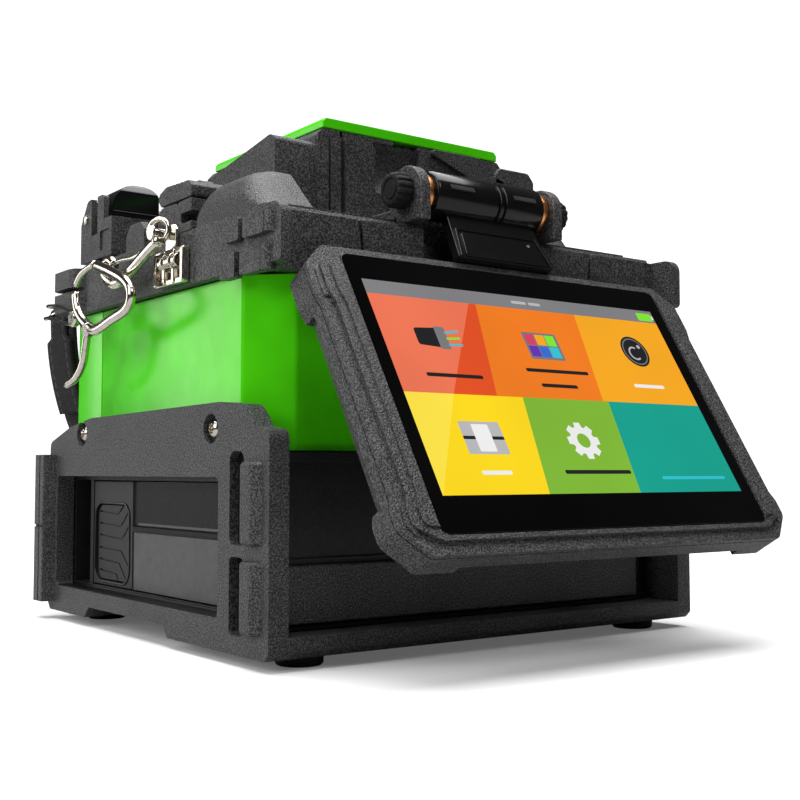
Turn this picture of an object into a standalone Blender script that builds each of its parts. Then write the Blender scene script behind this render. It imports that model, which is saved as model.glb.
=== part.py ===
"""Fiber fusion splicer with a fold-out touch monitor, as separate closed parts.

Run with: blender --background --python part.py
Lengths are written in millimetres and become metres in the scene. X runs to the right as seen from
the front, Y to the back and Z up, and the feet stand on Z = 0. The empty "splicer" carries every part
and moves them back by BODY_SHIFT_Y, so that the origin is under the middle of the whole body.
"""

import math

import bmesh
import bpy
from mathutils import Vector

MM = 0.001
GAP = 0.3  # clearance between parts that touch on the real object

# Driving dimensions
BODY_SHIFT_Y = 15.66  # from the drawing's Y = 0 to the middle of the body, monitor included
BASE_HALF_WIDTH = 80.0
BASE_WALL = 6.0
BASE_BOTTOM = 3.0
BASE_FLOOR_TOP = 8.7
BASE_FRONT = -70.0
BASE_REAR = 82.0
CASE_TOP = 56.1
SHELL_HALF_WIDTH = 73.7
SHELL_WALL = 2.5
SHELL_BOTTOM = 56.4
SHELL_TOP = 104.9
SHELL_FRONT = -55.0
SHELL_SEAM = 52.0
SHELL_REAR = 75.4
RING_HALF_WIDTH = 77.0
RING_BOTTOM = 105.2
RING_TOP = 121.0
BAND_FRONT = -60.0
BAND_TOP = 122.5
DECK_HALF_WIDTH = 69.4
DECK_FRONT = -52.7
DECK_REAR = 72.7
DECK_BOTTOM = 112.0
DECK_TOP = 124.3
HINGE_Y = -57.5
HINGE_Z = 131.8
MONITOR_TILT = 31.2  # degrees that the monitor leans out from upright, at rest
MONITOR_HALF_WIDTH = 70.1
MONITOR_CORNER = 1.1  # how far its corner bumpers stand out
MONITOR_TOP = -24.2  # below the hinge axis, along the glass
MONITOR_BOTTOM = -116.5
MONITOR_BACK = 10.4  # behind the glass
GLASS_HALF_WIDTH = 60.4
GLASS_TOP = -27.2
GLASS_BOTTOM = -111.5
FIBER_Y = 6.0  # the line of the two fibres
FIBER_Z = 137.0
COVER_HALF_WIDTH = 52.3
COVER_FRONT = -25.0
COVER_REAR = 46.0
COVER_BOTTOM = 124.8
COVER_AXIS_Y = 42.0
COVER_AXIS_Z = 148.0
HEATER_AXIS_Y = 75.2
HEATER_AXIS_Z = 140.0
STRAP_AXIS_Y = -8.5
STRAP_AXIS_Z = 121.0
STRAP_WIDTH = 22.0
STRAP_THICKNESS = 1.8
STRAP_MIDDLE_Y = 93.6
STRAP_HALF_SPAN = 71.6
STRAP_TOP_Z = 108.0
STRAP_SAG = 91.0
STRAP_POINTS = 33
HOOK_PLANE = 82.5  # |X| of the snap hooks' links
CLASP_PLANE = 85.6  # |X| of the clasps and their gates
RIM_SIDES = 24  # sides of a round part
MEDIUM_SIDES = 16  # sides of a smaller round part
FINE_SIDES = 12  # sides of a small round part
BEYOND = 200.0  # well past the body, for cuts that run out through it
SIDES = (("left", -1.0), ("right", 1.0))

# (Y, Z) of the screws in the base bumper's sides, and (X, Y) of the deck's keys
SCREW_PLACES = {"front": (-38.3, 62.5), "rear": (53.3, 63.4)}
KEY_PLACES = {
    "power": (-46.0, -40.0),
    "heat": (-34.5, -40.0),
    "reset": (34.5, -40.0),
    "set": (46.0, -40.0),
}

LOOKS = {
    "bumper": ((0.030, 0.030, 0.032), 0.75, 0.0),
    "case": ((0.018, 0.018, 0.020), 0.60, 0.0),
    "battery": ((0.045, 0.045, 0.048), 0.50, 0.0),
    "rubber": ((0.015, 0.015, 0.015), 0.90, 0.0),
    "green": ((0.130, 0.640, 0.010), 0.22, 0.0),
    "gloss": ((0.008, 0.008, 0.009), 0.12, 0.0),
    "glass": ((0.010, 0.010, 0.012), 0.05, 0.0),
    "screen": ((0.300, 0.250, 0.050), 0.30, 0.0),
    "steel": ((0.550, 0.550, 0.560), 0.30, 1.0),
    "chrome": ((0.800, 0.800, 0.800), 0.08, 1.0),
    "brass": ((0.720, 0.380, 0.140), 0.22, 1.0),
    "board": ((0.010, 0.120, 0.040), 0.55, 0.0),
    "ceramic": ((0.750, 0.730, 0.680), 0.40, 0.0),
    "webbing": ((0.012, 0.012, 0.013), 0.95, 0.0),
}


# ---------------------------------------------------------------- shapes


def clear_scene():
    for thing in list(bpy.data.objects):
        bpy.data.objects.remove(thing, do_unlink=True)


def look(name):
    """The Principled material of that name, made once."""
    found = bpy.data.materials.get(name)
    if found:
        return found
    colour, roughness, metallic = LOOKS[name]
    made = bpy.data.materials.new(name)
    made.use_nodes = True
    shader = made.node_tree.nodes["Principled BSDF"]
    shader.inputs["Base Color"].default_value = (*colour, 1.0)
    shader.inputs["Roughness"].default_value = roughness
    shader.inputs["Metallic"].default_value = metallic
    return made


def block(low, high):
    """A box as a shape: an outline in XY, drawn out along Z."""
    outline = [(low[0], low[1]), (high[0], low[1]), (high[0], high[1]), (low[0], high[1])]
    return ("Z", outline, low[2], high[2])


def circle(centre, radius, sides=RIM_SIDES, start=0.0, turn=360.0):
    """Points round a circle, or along an arc when turn is under a full turn."""
    full = abs(turn) >= 360.0
    count = sides if full else sides + 1
    points = []
    for i in range(count):
        angle = math.radians(start + turn * i / sides)
        points.append((centre[0] + radius * math.cos(angle), centre[1] + radius * math.sin(angle)))
    return points


def disc(axis, centre, radius, start, end, sides=RIM_SIDES):
    """A round bar as a shape, along that axis."""
    return (axis, circle(centre, radius, sides), start, end)


def mirrored(shapes):
    """The shapes and their copies on the other side of the X = 0 plane."""
    copies = []
    for axis, outline, start, end in shapes:
        if axis == "X":
            copies.append((axis, outline, -end, -start))
        else:
            copies.append((axis, [(-a, b) for a, b in outline], start, end))
    return list(shapes) + copies


def placed(axis, point, along):
    """The 3-D place of an outline's point, at that distance along the axis."""
    a, b = point
    if axis == "X":
        return Vector((along, a, b)) * MM
    if axis == "Y":
        return Vector((a, along, b)) * MM
    return Vector((a, b, along)) * MM


def mesh_of(name, shapes):
    """One mesh with a closed shell for each shape."""
    shells = bmesh.new()
    for axis, outline, start, end in shapes:
        low = [shells.verts.new(placed(axis, point, start)) for point in outline]
        high = [shells.verts.new(placed(axis, point, end)) for point in outline]
        shells.faces.new(low)
        shells.faces.new(high)
        for i in range(len(outline)):
            j = (i + 1) % len(outline)
            shells.faces.new((low[i], low[j], high[j], high[i]))
    bmesh.ops.recalc_face_normals(shells, faces=shells.faces)
    mesh = bpy.data.meshes.new(name)
    shells.to_mesh(mesh)
    shells.free()
    return mesh


def add(name, mesh, parent):
    """An object for the mesh. Under a tilted pivot the mesh is drawn upright round the pivot's axis."""
    made = bpy.data.objects.new(name, mesh)
    bpy.context.scene.collection.objects.link(made)
    made.parent = parent
    if not parent.rotation_euler.x:
        made.location = -offset_of(parent)
    return made


def offset_of(place):
    """How far that pivot lies from the empty "splicer", through its parents."""
    offset = Vector()
    while place.name != "splicer":
        offset += place.location
        place = place.parent
    return offset


def solid(name, shapes, finish, parent):
    """A named part. Only shapes that are joined, or one shape, make one closed body."""
    made = add(name, mesh_of(name, shapes), parent)
    made.data.materials.append(look(finish))
    made.data.shade_smooth()
    made.data.set_sharp_from_angle(angle=math.radians(30))
    return made


def apply_tool(part, tool, name, operation):
    """A boolean step on the part, with a hidden object as its tool."""
    tool.hide_render = True
    tool.display_type = "WIRE"
    step = part.modifiers.new(name, "BOOLEAN")
    step.object = tool
    step.operation = operation
    step.solver = "EXACT"


def cut(part, name, shapes):
    tool = add(f"{part.name}_{name}", mesh_of(name, shapes), part.parent)
    apply_tool(part, tool, name, "DIFFERENCE")


def join(part, name, shapes):
    tool = add(f"{part.name}_{name}", mesh_of(name, shapes), part.parent)
    apply_tool(part, tool, name, "UNION")


def outward(sign, inner, outer):
    """The two X values as (low, high), on the side that the sign names."""
    return sorted((sign * inner, sign * outer))


def pivot(name, location, parent, tilt=0.0):
    """An empty on a joint's axis. It carries what moves with that joint."""
    made = bpy.data.objects.new(name, None)
    bpy.context.scene.collection.objects.link(made)
    made.empty_display_size = 10 * MM
    made.parent = parent
    made.location = Vector(location) * MM - offset_of(parent)
    made.rotation_euler.x = math.radians(tilt)
    return made


def sweep(name, path, section, side, finish, parent, closed=False):
    """A bar of that section along the path. side is the direction of the section's first number."""
    points = [Vector(p) for p in path]
    across = Vector(side).normalized()
    shell = bmesh.new()
    rings = []
    for i, point in enumerate(points):
        before = points[i - 1] if closed or i else point
        after = points[(i + 1) % len(points)] if closed or i + 1 < len(points) else point
        normal = across.cross((after - before).normalized())
        rings.append([shell.verts.new((point + across * s + normal * t) * MM) for s, t in section])
    count = len(section)
    pairs = list(zip(rings, rings[1:]))
    if closed:
        pairs.append((rings[-1], rings[0]))
    else:
        shell.faces.new(rings[0])
        shell.faces.new(rings[-1])
    for ring, following in pairs:
        for i in range(count):
            j = (i + 1) % count
            shell.faces.new((ring[i], ring[j], following[j], following[i]))
    bmesh.ops.recalc_face_normals(shell, faces=shell.faces)
    mesh = bpy.data.meshes.new(name)
    shell.to_mesh(mesh)
    shell.free()
    made = add(name, mesh, parent)
    made.data.materials.append(look(finish))
    made.data.shade_smooth()
    return made


def round_section(radius, sides=8):
    return circle((0.0, 0.0), radius, sides)


# ---------------------------------------------------------------- base


def base_bumper(root):
    """The textured frame round the lower half, open at the front and at both sides."""
    arch_rise = 3.5
    side = [
        (BASE_FRONT, 5.0), (-68.0, BASE_BOTTOM), (-12.9, BASE_BOTTOM), (-9.5, BASE_BOTTOM + arch_rise),
        (45.5, BASE_BOTTOM + arch_rise), (49.0, BASE_BOTTOM), (80.0, BASE_BOTTOM), (BASE_REAR, 5.0),
        (BASE_REAR, 61.0), (46.0, 68.0), (-43.0, 69.7), (-64.0, 62.0), (BASE_FRONT, 61.8),
    ]
    frame = solid("base_bumper", [("X", side, -BASE_HALF_WIDTH, BASE_HALF_WIDTH)], "bumper", root)
    front_rib = [
        (-79.0, -56.5), (-81.6, -58.0), (-83.0, -60.5), (-83.0, -67.5), (-81.5, -69.8), (-79.0, -69.8),
    ]
    rear_rib = [(-79.0, 75.5), (-84.5, 76.5), (-84.5, 84.5), (-83.0, 85.5), (-76.0, 85.5), (-76.0, 79.0)]
    ribs = [
        ("Z", front_rib, 8.5, 28.5), ("Z", front_rib, 33.0, 55.0),
        ("Z", rear_rib, 6.0, 31.0), ("Z", rear_rib, 33.0, 56.7),
    ]
    join(frame, "corner_ribs", mirrored(ribs))
    inner = BASE_HALF_WIDTH - BASE_WALL
    cut(frame, "inside", [block((-inner, -BEYOND, BASE_FLOOR_TOP), (inner, 76.0, BEYOND))])
    cut(frame, "side_openings", mirrored([block((-BEYOND, -43.0, 11.7), (-70.0, 74.5, 49.3))]))
    recess_floor = BASE_HALF_WIDTH - 2.5
    for end, place in SCREW_PLACES.items():
        recess = disc("X", place, 4.15, -BEYOND, -recess_floor, MEDIUM_SIDES)
        cut(frame, f"{end}_screw_recesses", mirrored([recess]))


def base_screws(root):
    """Button-head hex screws that hold the bumper to the body, two each side."""
    head_inner, head_outer, socket_floor = 77.8, 79.9, 78.8
    for end, place in SCREW_PLACES.items():
        for side, sign in SIDES:
            near, far = outward(sign, head_inner, head_outer)
            head = disc("X", place, 2.6, near, far, MEDIUM_SIDES)
            screw = solid(f"base_screw_{end}_{side}", [head], "chrome", root)
            near, far = outward(sign, socket_floor, BEYOND)
            cut(screw, "hex_socket", [disc("X", place, 1.5, near, far, 6)])


def feet(root):
    for end, y in (("front", -59.0), ("rear", 68.0)):
        for side, x in (("left", -64.0), ("right", 64.0)):
            shape = disc("Z", (x, y), 6.5, 0.0, BASE_BOTTOM - GAP, MEDIUM_SIDES)
            solid(f"foot_{end}_{side}", [shape], "rubber", root)


def lower_case(root):
    """The case inside the base: the battery bay opens to the left."""
    case = solid("lower_case", [block((-73.5, -58.0, 9.0), (73.5, 75.6, CASE_TOP))], "case", root)
    join(case, "front_panel", [block((-67.5, -61.0, 10.0), (67.5, -57.0, 25.0))])
    cut(case, "battery_bay", [block((-BEYOND, -43.0, 13.0), (58.5, 58.0, 48.0))])
    cut(case, "top_tray", [block((-70.0, -54.5, 50.0), (70.0, 72.0, BEYOND))])
    cut(case, "rear_pockets", mirrored([block((-BEYOND, 60.5, 13.0), (-62.0, 73.5, 48.0))]))
    cut(case, "right_pocket", [block((70.5, -41.0, 14.0), (BEYOND, 57.0, 47.0))])


def battery(root):
    """The battery pack slides out to the left; the chevron latch is pressed to free it."""
    out = pivot("battery_axis", (0.0, 7.5, 30.5), root)
    face, panel = -73.2, -70.0
    pack = solid("battery_pack", [block((face, -42.5, 13.4), (58.0, 57.5, 47.6))], "battery", out)
    ledge = [(-80.0, 32.0), (face, 32.0), (panel, 35.0), (panel, 60.0), (-80.0, 60.0)]
    cut(pack, "upper_panel", [("Y", ledge, -50.0, 26.0)])
    cut(pack, "latch_pocket", [block((-80.0, 28.8, 14.8), (-67.4, 55.7, 40.2))])
    press = pivot("battery_latch_axis", (-71.0, 42.2, 27.5), out)
    solid("battery_latch", [block((-72.9, 29.2, 15.2), (-69.6, 55.3, 39.8))], "case", press)


# ---------------------------------------------------------------- body


def body_shells(root):
    """The gloss green shell: a front U and a rear U that meet at a seam on each side."""
    out, wall = SHELL_HALF_WIDTH, SHELL_WALL
    chamfer = 10.7
    inner_chamfer = 9.6
    front = [
        (-out, SHELL_SEAM - 0.2), (-out, SHELL_FRONT + chamfer), (-out + chamfer, SHELL_FRONT),
        (out - chamfer, SHELL_FRONT), (out, SHELL_FRONT + chamfer), (out, SHELL_SEAM - 0.2),
        (out - wall, SHELL_SEAM - 0.2), (out - wall, SHELL_FRONT + wall + inner_chamfer),
        (out - wall - inner_chamfer, SHELL_FRONT + wall), (-out + wall + inner_chamfer, SHELL_FRONT + wall),
        (-out + wall, SHELL_FRONT + wall + inner_chamfer), (-out + wall, SHELL_SEAM - 0.2),
    ]
    solid("body_shell", [("Z", front, SHELL_BOTTOM, SHELL_TOP)], "green", root)
    rear = [
        (-out, SHELL_SEAM + 0.2), (-out + wall, SHELL_SEAM + 0.2), (-out + wall, SHELL_REAR - wall),
        (out - wall, SHELL_REAR - wall), (out - wall, SHELL_SEAM + 0.2), (out, SHELL_SEAM + 0.2),
        (out, SHELL_REAR), (-out, SHELL_REAR),
    ]
    solid("rear_shell", [("Z", rear, SHELL_BOTTOM, SHELL_TOP)], "green", root)


def top_bumper(root):
    """The textured ring round the top, with side plates that run forward past the front band."""
    side, inner = RING_HALF_WIDTH, DECK_HALF_WIDTH + GAP
    ring = [
        (-side, BASE_FRONT), (-74.0, BASE_FRONT), (-74.0, BAND_FRONT), (74.0, BAND_FRONT), (74.0, BASE_FRONT),
        (side, BASE_FRONT), (side, 79.0), (-side, 79.0),
    ]
    bumper = solid("top_bumper", [("Z", ring, RING_BOTTOM, RING_TOP)], "bumper", root)
    join(bumper, "front_band", [block((-74.5, BAND_FRONT, 110.0), (74.5, -53.2, BAND_TOP))])
    stand_out = -78.8
    pads = [
        block((stand_out, -50.5, 113.0), (-76.0, -43.0, 119.3)),
        block((stand_out, -66.5, 113.0), (-76.0, -53.5, 119.3)),
        block((stand_out, -48.0, 103.2), (-76.0, -40.0, 110.3)),
        block((stand_out, -64.5, 103.2), (-76.0, -51.0, 110.3)),
    ]
    join(bumper, "side_pads", mirrored(pads))
    rear_rib = [(-76.0, 60.0), (-80.0, 62.0), (-81.0, 65.0), (-81.0, 78.0), (-79.0, 80.0), (-70.0, 80.0)]
    join(bumper, "rear_ribs", mirrored([("Z", rear_rib, 106.0, 112.5), ("Z", rear_rib, 114.0, 120.5)]))
    slab = [(15.0, 112.0), (15.0, 127.0), (17.5, 129.8), (25.5, 129.8), (28.5, 126.5), (28.5, 112.0)]
    join(bumper, "grip_slabs", mirrored([("X", slab, -76.0, -72.0)]))
    cut(bumper, "deck_opening", [block((-inner, -53.0, 0.0), (inner, 73.0, BEYOND))])
    cut(bumper, "arm_notch", [block((-23.0, -70.0, 111.5), (23.0, -50.0, BEYOND))])


def top_deck(root):
    """The deck carries the splice bay, with rounded shoulders beside the wind cover."""
    deck = solid(
        "top_deck",
        [block((-DECK_HALF_WIDTH, DECK_FRONT, DECK_BOTTOM), (DECK_HALF_WIDTH, DECK_REAR, DECK_TOP))],
        "bumper", root,
    )
    shoulder = [
        (-69.0, 122.0), (-69.0, 128.5), (-67.6, 132.6), (-64.4, 136.0), (-60.0, 138.2),
        (-56.0, 138.8), (-52.8, 138.8), (-52.8, 122.0),
    ]
    join(deck, "shoulders", mirrored([("Y", shoulder, -49.0, -6.0)]))
    slope = [(-60.0, 124.6), (-49.6, 124.6), (-46.0, 127.6), (-34.5, 137.2), (-31.0, 140.0), (-60.0, 140.0)]
    cut(deck, "shoulder_slopes", mirrored([("X", slope, -75.0, -52.0)]))
    post = [(36.5, 120.0), (36.5, 149.0), (39.0, 152.0), (45.0, 152.0), (47.5, 149.0), (47.5, 120.0)]
    join(deck, "cover_posts", mirrored([("X", post, -44.5, -38.5)]))
    bore = disc("X", (COVER_AXIS_Y, COVER_AXIS_Z), 2.0, -43.2, -38.0, FINE_SIDES)
    cut(deck, "pin_bores", mirrored([bore]))
    wells = [disc("Z", place, 5.0, 121.0, BEYOND, MEDIUM_SIDES) for place in KEY_PLACES.values()]
    cut(deck, "key_wells", wells)
    cut(deck, "lens_hole", [disc("Z", (0.0, FIBER_Y), 4.6, 0.0, BEYOND, MEDIUM_SIDES)])


def deck_keys(root):
    """Round keys in wells in front of the wind cover; each is pressed down about 1 mm."""
    for name, (x, y) in KEY_PLACES.items():
        press = pivot(f"key_{name}_axis", (x, y, DECK_TOP), root)
        solid(f"key_{name}", [disc("Z", (x, y), 4.6, 122.5, 125.6, MEDIUM_SIDES)], "rubber", press)


def inner_parts(root):
    """What the body holds: main board, arc supply and the microscope under the splice point."""
    solid("main_board", [block((-60.0, -45.0, 60.0), (60.0, 65.0, 61.6))], "board", root)
    solid("arc_power_module", [block((16.0, 22.0, 62.0), (56.0, 60.0, 86.0))], "case", root)
    scope = solid("microscope_camera", [disc("Z", (0.0, FIBER_Y), 9.0, 88.0, 111.0)], "steel", root)
    join(scope, "snout", [disc("Z", (0.0, FIBER_Y), 4.0, 110.0, 123.6, MEDIUM_SIDES)])


def splice_bay(root):
    """V-groove block, two electrodes that face each other across it, and the fibre clamps."""
    groove = FIBER_Z - 0.2
    top = groove - 1.2
    floor = DECK_TOP + GAP
    valley = [
        (-14.0, floor), (18.0, floor), (18.0, top), (FIBER_Y + 1.4, top), (FIBER_Y, top - 1.4),
        (FIBER_Y - 1.4, top), (-14.0, top),
    ]
    splice_block = solid("splice_block", [("X", valley, -20.0, 20.0)], "ceramic", root)
    cut(splice_block, "arc_gap", [block((-4.0, -3.0, floor + 2.0), (4.0, 14.0, BEYOND))])
    cut(splice_block, "lens_window", [disc("Z", (0.0, FIBER_Y), 3.6, 0.0, BEYOND, MEDIUM_SIDES)])
    front = [(-16.0, 1.2), (-1.5, 1.2), (4.2, 0.2)]
    rear = [(17.5, 1.2), (13.5, 1.2), (7.8, 0.2)]
    for name, profile in (("electrode_front", front), ("electrode_rear", rear)):
        rod = turned_along_y(name, profile, FIBER_Z, "steel", root)
        rod.data.set_sharp_from_angle(angle=math.radians(30))
    for side, sign in SIDES:
        lift = pivot(f"fiber_clamp_{side}_axis", (sign * 28.0, 15.0, 139.5), root)
        near, far = outward(sign, 23.0, 33.0)
        arm = [(-3.0, 137.4), (-3.0, 141.5), (0.0, 142.5), (13.0, 142.5), (16.5, 140.5), (16.5, 137.4)]
        solid(f"fiber_clamp_{side}", [("X", arm, near, far)], "steel", lift)


def turned_along_y(name, profile, z, finish, parent):
    """A turned rod along Y, on the X = 0 plane, from (y, radius) pairs."""
    shell = bmesh.new()
    rings = []
    for y, radius in profile:
        around = circle((0.0, 0.0), radius, 8)
        rings.append([shell.verts.new(Vector((a, y, z + b)) * MM) for a, b in around])
    shell.faces.new(rings[0])
    shell.faces.new(rings[-1])
    for ring, following in zip(rings, rings[1:]):
        for i in range(8):
            j = (i + 1) % 8
            shell.faces.new((ring[i], ring[j], following[j], following[i]))
    bmesh.ops.recalc_face_normals(shell, faces=shell.faces)
    mesh = bpy.data.meshes.new(name)
    shell.to_mesh(mesh)
    shell.free()
    made = add(name, mesh, parent)
    made.data.materials.append(look(finish))
    made.data.shade_smooth()
    return made


def sheath_clamps(root):
    """A stage and a hinged lid each side, which hold the coated fibre beside the wind cover."""
    for side, sign in SIDES:
        near, far = outward(sign, 54.4, 69.2)
        stage_profile = [
            (-3.6, DECK_TOP + GAP), (19.6, DECK_TOP + GAP), (19.6, 133.0), (17.0, 134.7),
            (FIBER_Y + 1.2, 134.7), (FIBER_Y, 133.5), (FIBER_Y - 1.2, 134.7), (-3.6, 134.7),
        ]
        stage = solid(f"sheath_stage_{side}", [("X", stage_profile, near, far)], "bumper", root)
        slot_near, slot_far = outward(sign, 64.0, 80.0)
        cut(stage, "front_slot", [block((slot_near, -10.0, 127.5), (slot_far, 3.5, 130.5))])
        lift = pivot(f"sheath_lid_{side}_axis", (sign * 61.8, 17.5, 136.5), root)
        lid = [
            (-3.8, 135.1), (-3.8, 138.6), (-1.5, 140.4), (14.0, 141.0), (18.6, 139.5), (19.6, 137.5),
            (17.6, 135.1),
        ]
        solid(f"sheath_lid_{side}", [("X", lid, near, far)], "bumper", lift)


# ---------------------------------------------------------------- heater


def heater(root):
    """The shrink-tube oven across the rear: a long lid and a clamp at each end, on one axis."""
    base_profile = [(50.0, DECK_TOP + GAP), (77.0, DECK_TOP + GAP), (77.0, 137.9), (50.0, 137.9)]
    base = solid("heater_base", [("X", base_profile, -72.0, 72.0)], "bumper", root)
    wall = [(57.0, 130.0), (57.0, 146.5), (71.0, 146.5), (77.0, 138.5), (77.0, 130.0)]
    join(base, "end_walls", mirrored([("X", wall, -72.0, -70.0)]))
    cut(base, "oven", [block((-50.0, 59.5, 128.0), (50.0, 70.5, BEYOND))])
    cut(base, "tube_channels", mirrored([block((-BEYOND, 62.4, 133.5), (-49.0, 67.6, BEYOND))]))
    lift = pivot("heater_axis", (0.0, HEATER_AXIS_Y, HEATER_AXIS_Z), root)
    lid = [
        (57.5, 138.2), (57.5, 143.0), (60.5, 146.6), (71.0, 146.8), (75.5, 144.0), (76.6, 140.5),
        (75.0, 138.2),
    ]
    solid("heater_lid", [("X", lid, -51.2, 51.2)], "gloss", lift)
    clamp = [
        (57.0, 138.4), (57.0, 146.0), (59.5, 149.6), (64.5, 151.0), (71.0, 149.0), (75.8, 144.0),
        (76.6, 140.5), (75.0, 138.4),
    ]
    for side, sign in SIDES:
        turn = pivot(f"heater_clamp_{side}_axis", (sign * 60.6, HEATER_AXIS_Y, HEATER_AXIS_Z), root)
        near, far = outward(sign, 51.7, 69.6)
        solid(f"heater_clamp_{side}", [("X", clamp, near, far)], "gloss", turn)


# ---------------------------------------------------------------- wind cover


def wind_cover(root):
    """The hinged hood over the splice bay, with a green plate on its middle."""
    lift = pivot("wind_cover_axis", (0.0, COVER_AXIS_Y, COVER_AXIS_Z), root)
    wide = [
        (COVER_FRONT, COVER_BOTTOM), (14.5, COVER_BOTTOM), (14.5, 147.0), (COVER_FRONT + 3.0, 152.9),
        (COVER_FRONT, 151.5),
    ]
    hood = solid("wind_cover", [("X", wide, -COVER_HALF_WIDTH, COVER_HALF_WIDTH)], "bumper", lift)
    middle = [
        (-38.0, COVER_BOTTOM), (38.0, COVER_BOTTOM), (38.0, 154.2), (35.6, 156.8), (-35.6, 156.8),
        (-38.0, 154.2),
    ]
    join(hood, "middle", [("Y", middle, COVER_FRONT - 0.4, COVER_REAR)])
    ramp = [(-24.0, 126.0), (-39.0, 139.0), (-39.0, 142.0), (-25.0, 153.0), (-24.0, 153.0)]
    join(hood, "front_ramp", [("X", ramp, -8.0, 24.0)])
    cut(hood, "wide_inside", [block((-49.6, -22.0, 0.0), (49.6, 11.8, 144.0))])
    cut(hood, "middle_inside", [block((-35.4, -22.4, 0.0), (35.4, 43.4, 153.8))])
    cut(hood, "fibre_slots", mirrored([block((-60.0, 3.0, 0.0), (-40.0, 9.0, 139.0))]))
    cut(hood, "pin_bores", [disc("X", (COVER_AXIS_Y, COVER_AXIS_Z), 2.0, -60.0, 60.0, FINE_SIDES)])
    plate = [(-35.5, 157.1), (35.5, 157.1), (35.5, 159.2), (34.3, 160.4), (-34.3, 160.4), (-35.5, 159.2)]
    solid("wind_cover_plate", [("Y", plate, -25.5, 45.0)], "green", lift)
    pin = disc("X", (COVER_AXIS_Y, COVER_AXIS_Z), 1.6, -42.8, 42.8, FINE_SIDES)
    solid("wind_cover_pin", [pin], "steel", root)


# ---------------------------------------------------------------- monitor


def hinge_bracket(root):
    """Two ears on the top bumper's front band, joined behind the hinge barrel."""
    axis = (HINGE_Y, HINGE_Z)
    arch = circle(axis, 7.7, 10, 180.0, -180.0)
    ear = arch + [
        (-49.8, 127.6), (-41.0, 127.6), (-41.0, DECK_TOP + GAP), (-53.1, DECK_TOP + GAP), (-53.1, 122.8),
        (-65.2, 122.8),
    ]
    bracket = solid("hinge_bracket", [("X", ear, -27.9, 27.9)], "bumper", root)
    cut(bracket, "barrel_space", [block((-24.2, -BEYOND, 0.0), (24.2, -48.5, BEYOND))])
    cut(bracket, "pin_bore", [disc("X", axis, 3.0, -40.0, 40.0, MEDIUM_SIDES)])


def hinge_knobs(root):
    """Friction knobs on the pin's ends, turned to set how stiff the monitor is."""
    axis = (HINGE_Y, HINGE_Z)
    for side, sign in SIDES:
        turn = pivot(f"hinge_knob_{side}_axis", (sign * 30.8, HINGE_Y, HINGE_Z), root)
        near, far = outward(sign, 28.2, 33.4)
        knob = solid(f"hinge_knob_{side}", [disc("X", axis, 5.2, near, far)], "rubber", turn)
        near, far = outward(sign, 20.0, 31.2)
        cut(knob, "pin_socket", [disc("X", axis, 3.0, near, far, MEDIUM_SIDES)])


def monitor_outline(inset):
    """The monitor seen from the front, round the hinge axis: corner bumpers stand proud of its sides."""
    side = MONITOR_HALF_WIDTH - inset
    corner = side + MONITOR_CORNER
    half = [
        (corner - 7.0, MONITOR_TOP - inset), (corner, -31.0), (corner, -40.5), (side, -44.5),
        (side, -101.0), (corner, -104.0), (corner, -109.0), (corner - 7.2, MONITOR_BOTTOM + inset),
    ]
    return half + [(-x, z) for x, z in reversed(half)]


def monitor(root):
    """The monitor and its arm, drawn upright round the hinge axis and leaned out by their pivot."""
    tilt = pivot("monitor_axis", (0.0, HINGE_Y, HINGE_Z), root, -MONITOR_TILT)
    split = 2.6
    back = solid("monitor_back", [("Y", monitor_outline(0.0), split + GAP, MONITOR_BACK)], "bumper", tilt)
    top_relief = [(4.2, -20.0), (4.2, -26.8), (MONITOR_BACK + 0.6, -29.0), (MONITOR_BACK + 0.6, -20.0)]
    cut(back, "top_relief", [("X", top_relief, -90.0, 90.0)])
    cut(back, "panel_bay", [block((-58.5, 1.0, -109.5), (58.5, 4.4, -29.5))])
    rim = [("Y", monitor_outline(0.0), 1.2, split)]
    bezel = solid("monitor_bezel", rim, "bumper", tilt)
    join(bezel, "front_rim", [("Y", monitor_outline(3.0), -0.6, 1.8)])
    edge = GLASS_HALF_WIDTH + GAP
    cut(bezel, "glass_hole", [block((-edge, -5.0, GLASS_BOTTOM - GAP), (edge, 5.0, GLASS_TOP + GAP))])
    glass = block((-GLASS_HALF_WIDTH, 0.0, GLASS_BOTTOM), (GLASS_HALF_WIDTH, 1.1, GLASS_TOP))
    solid("touch_glass", [glass], "glass", tilt)
    solid("lcd_panel", [block((-58.0, 1.4, -109.0), (58.0, 4.0, -30.0))], "screen", tilt)
    barrel = solid("monitor_arm", [disc("X", (0.0, 0.0), 6.7, -21.0, 21.0)], "bumper", tilt)
    arm = [(-15.5, -3.0), (15.5, -3.0), (21.0, MONITOR_TOP + GAP), (-21.0, MONITOR_TOP + GAP)]
    join(barrel, "arm", [("Y", arm, -3.0, 2.0)])
    cut(barrel, "pin_bore", [disc("X", (0.0, 0.0), 3.0, -40.0, 40.0, MEDIUM_SIDES)])
    plate = [(-14.5, -14.6), (14.5, -14.6), (16.8, -23.4), (-16.8, -23.4)]
    solid("nameplate", [("Y", plate, -4.1, -3.3)], "gloss", tilt)
    solid("hinge_pin", [disc("X", (0.0, 0.0), 2.6, -30.8, 30.8, MEDIUM_SIDES)], "steel", tilt)
    for side, sign in SIDES:
        near, far = outward(sign, 21.3, 23.9)
        bush = solid(f"brass_bush_{side}", [disc("X", (0.0, 0.0), 4.5, near, far)], "brass", tilt)
        near, far = outward(sign, 20.0, 25.0)
        cut(bush, "bore", [disc("X", (0.0, 0.0), 3.0, near, far, MEDIUM_SIDES)])


# ---------------------------------------------------------------- carry strap


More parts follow.
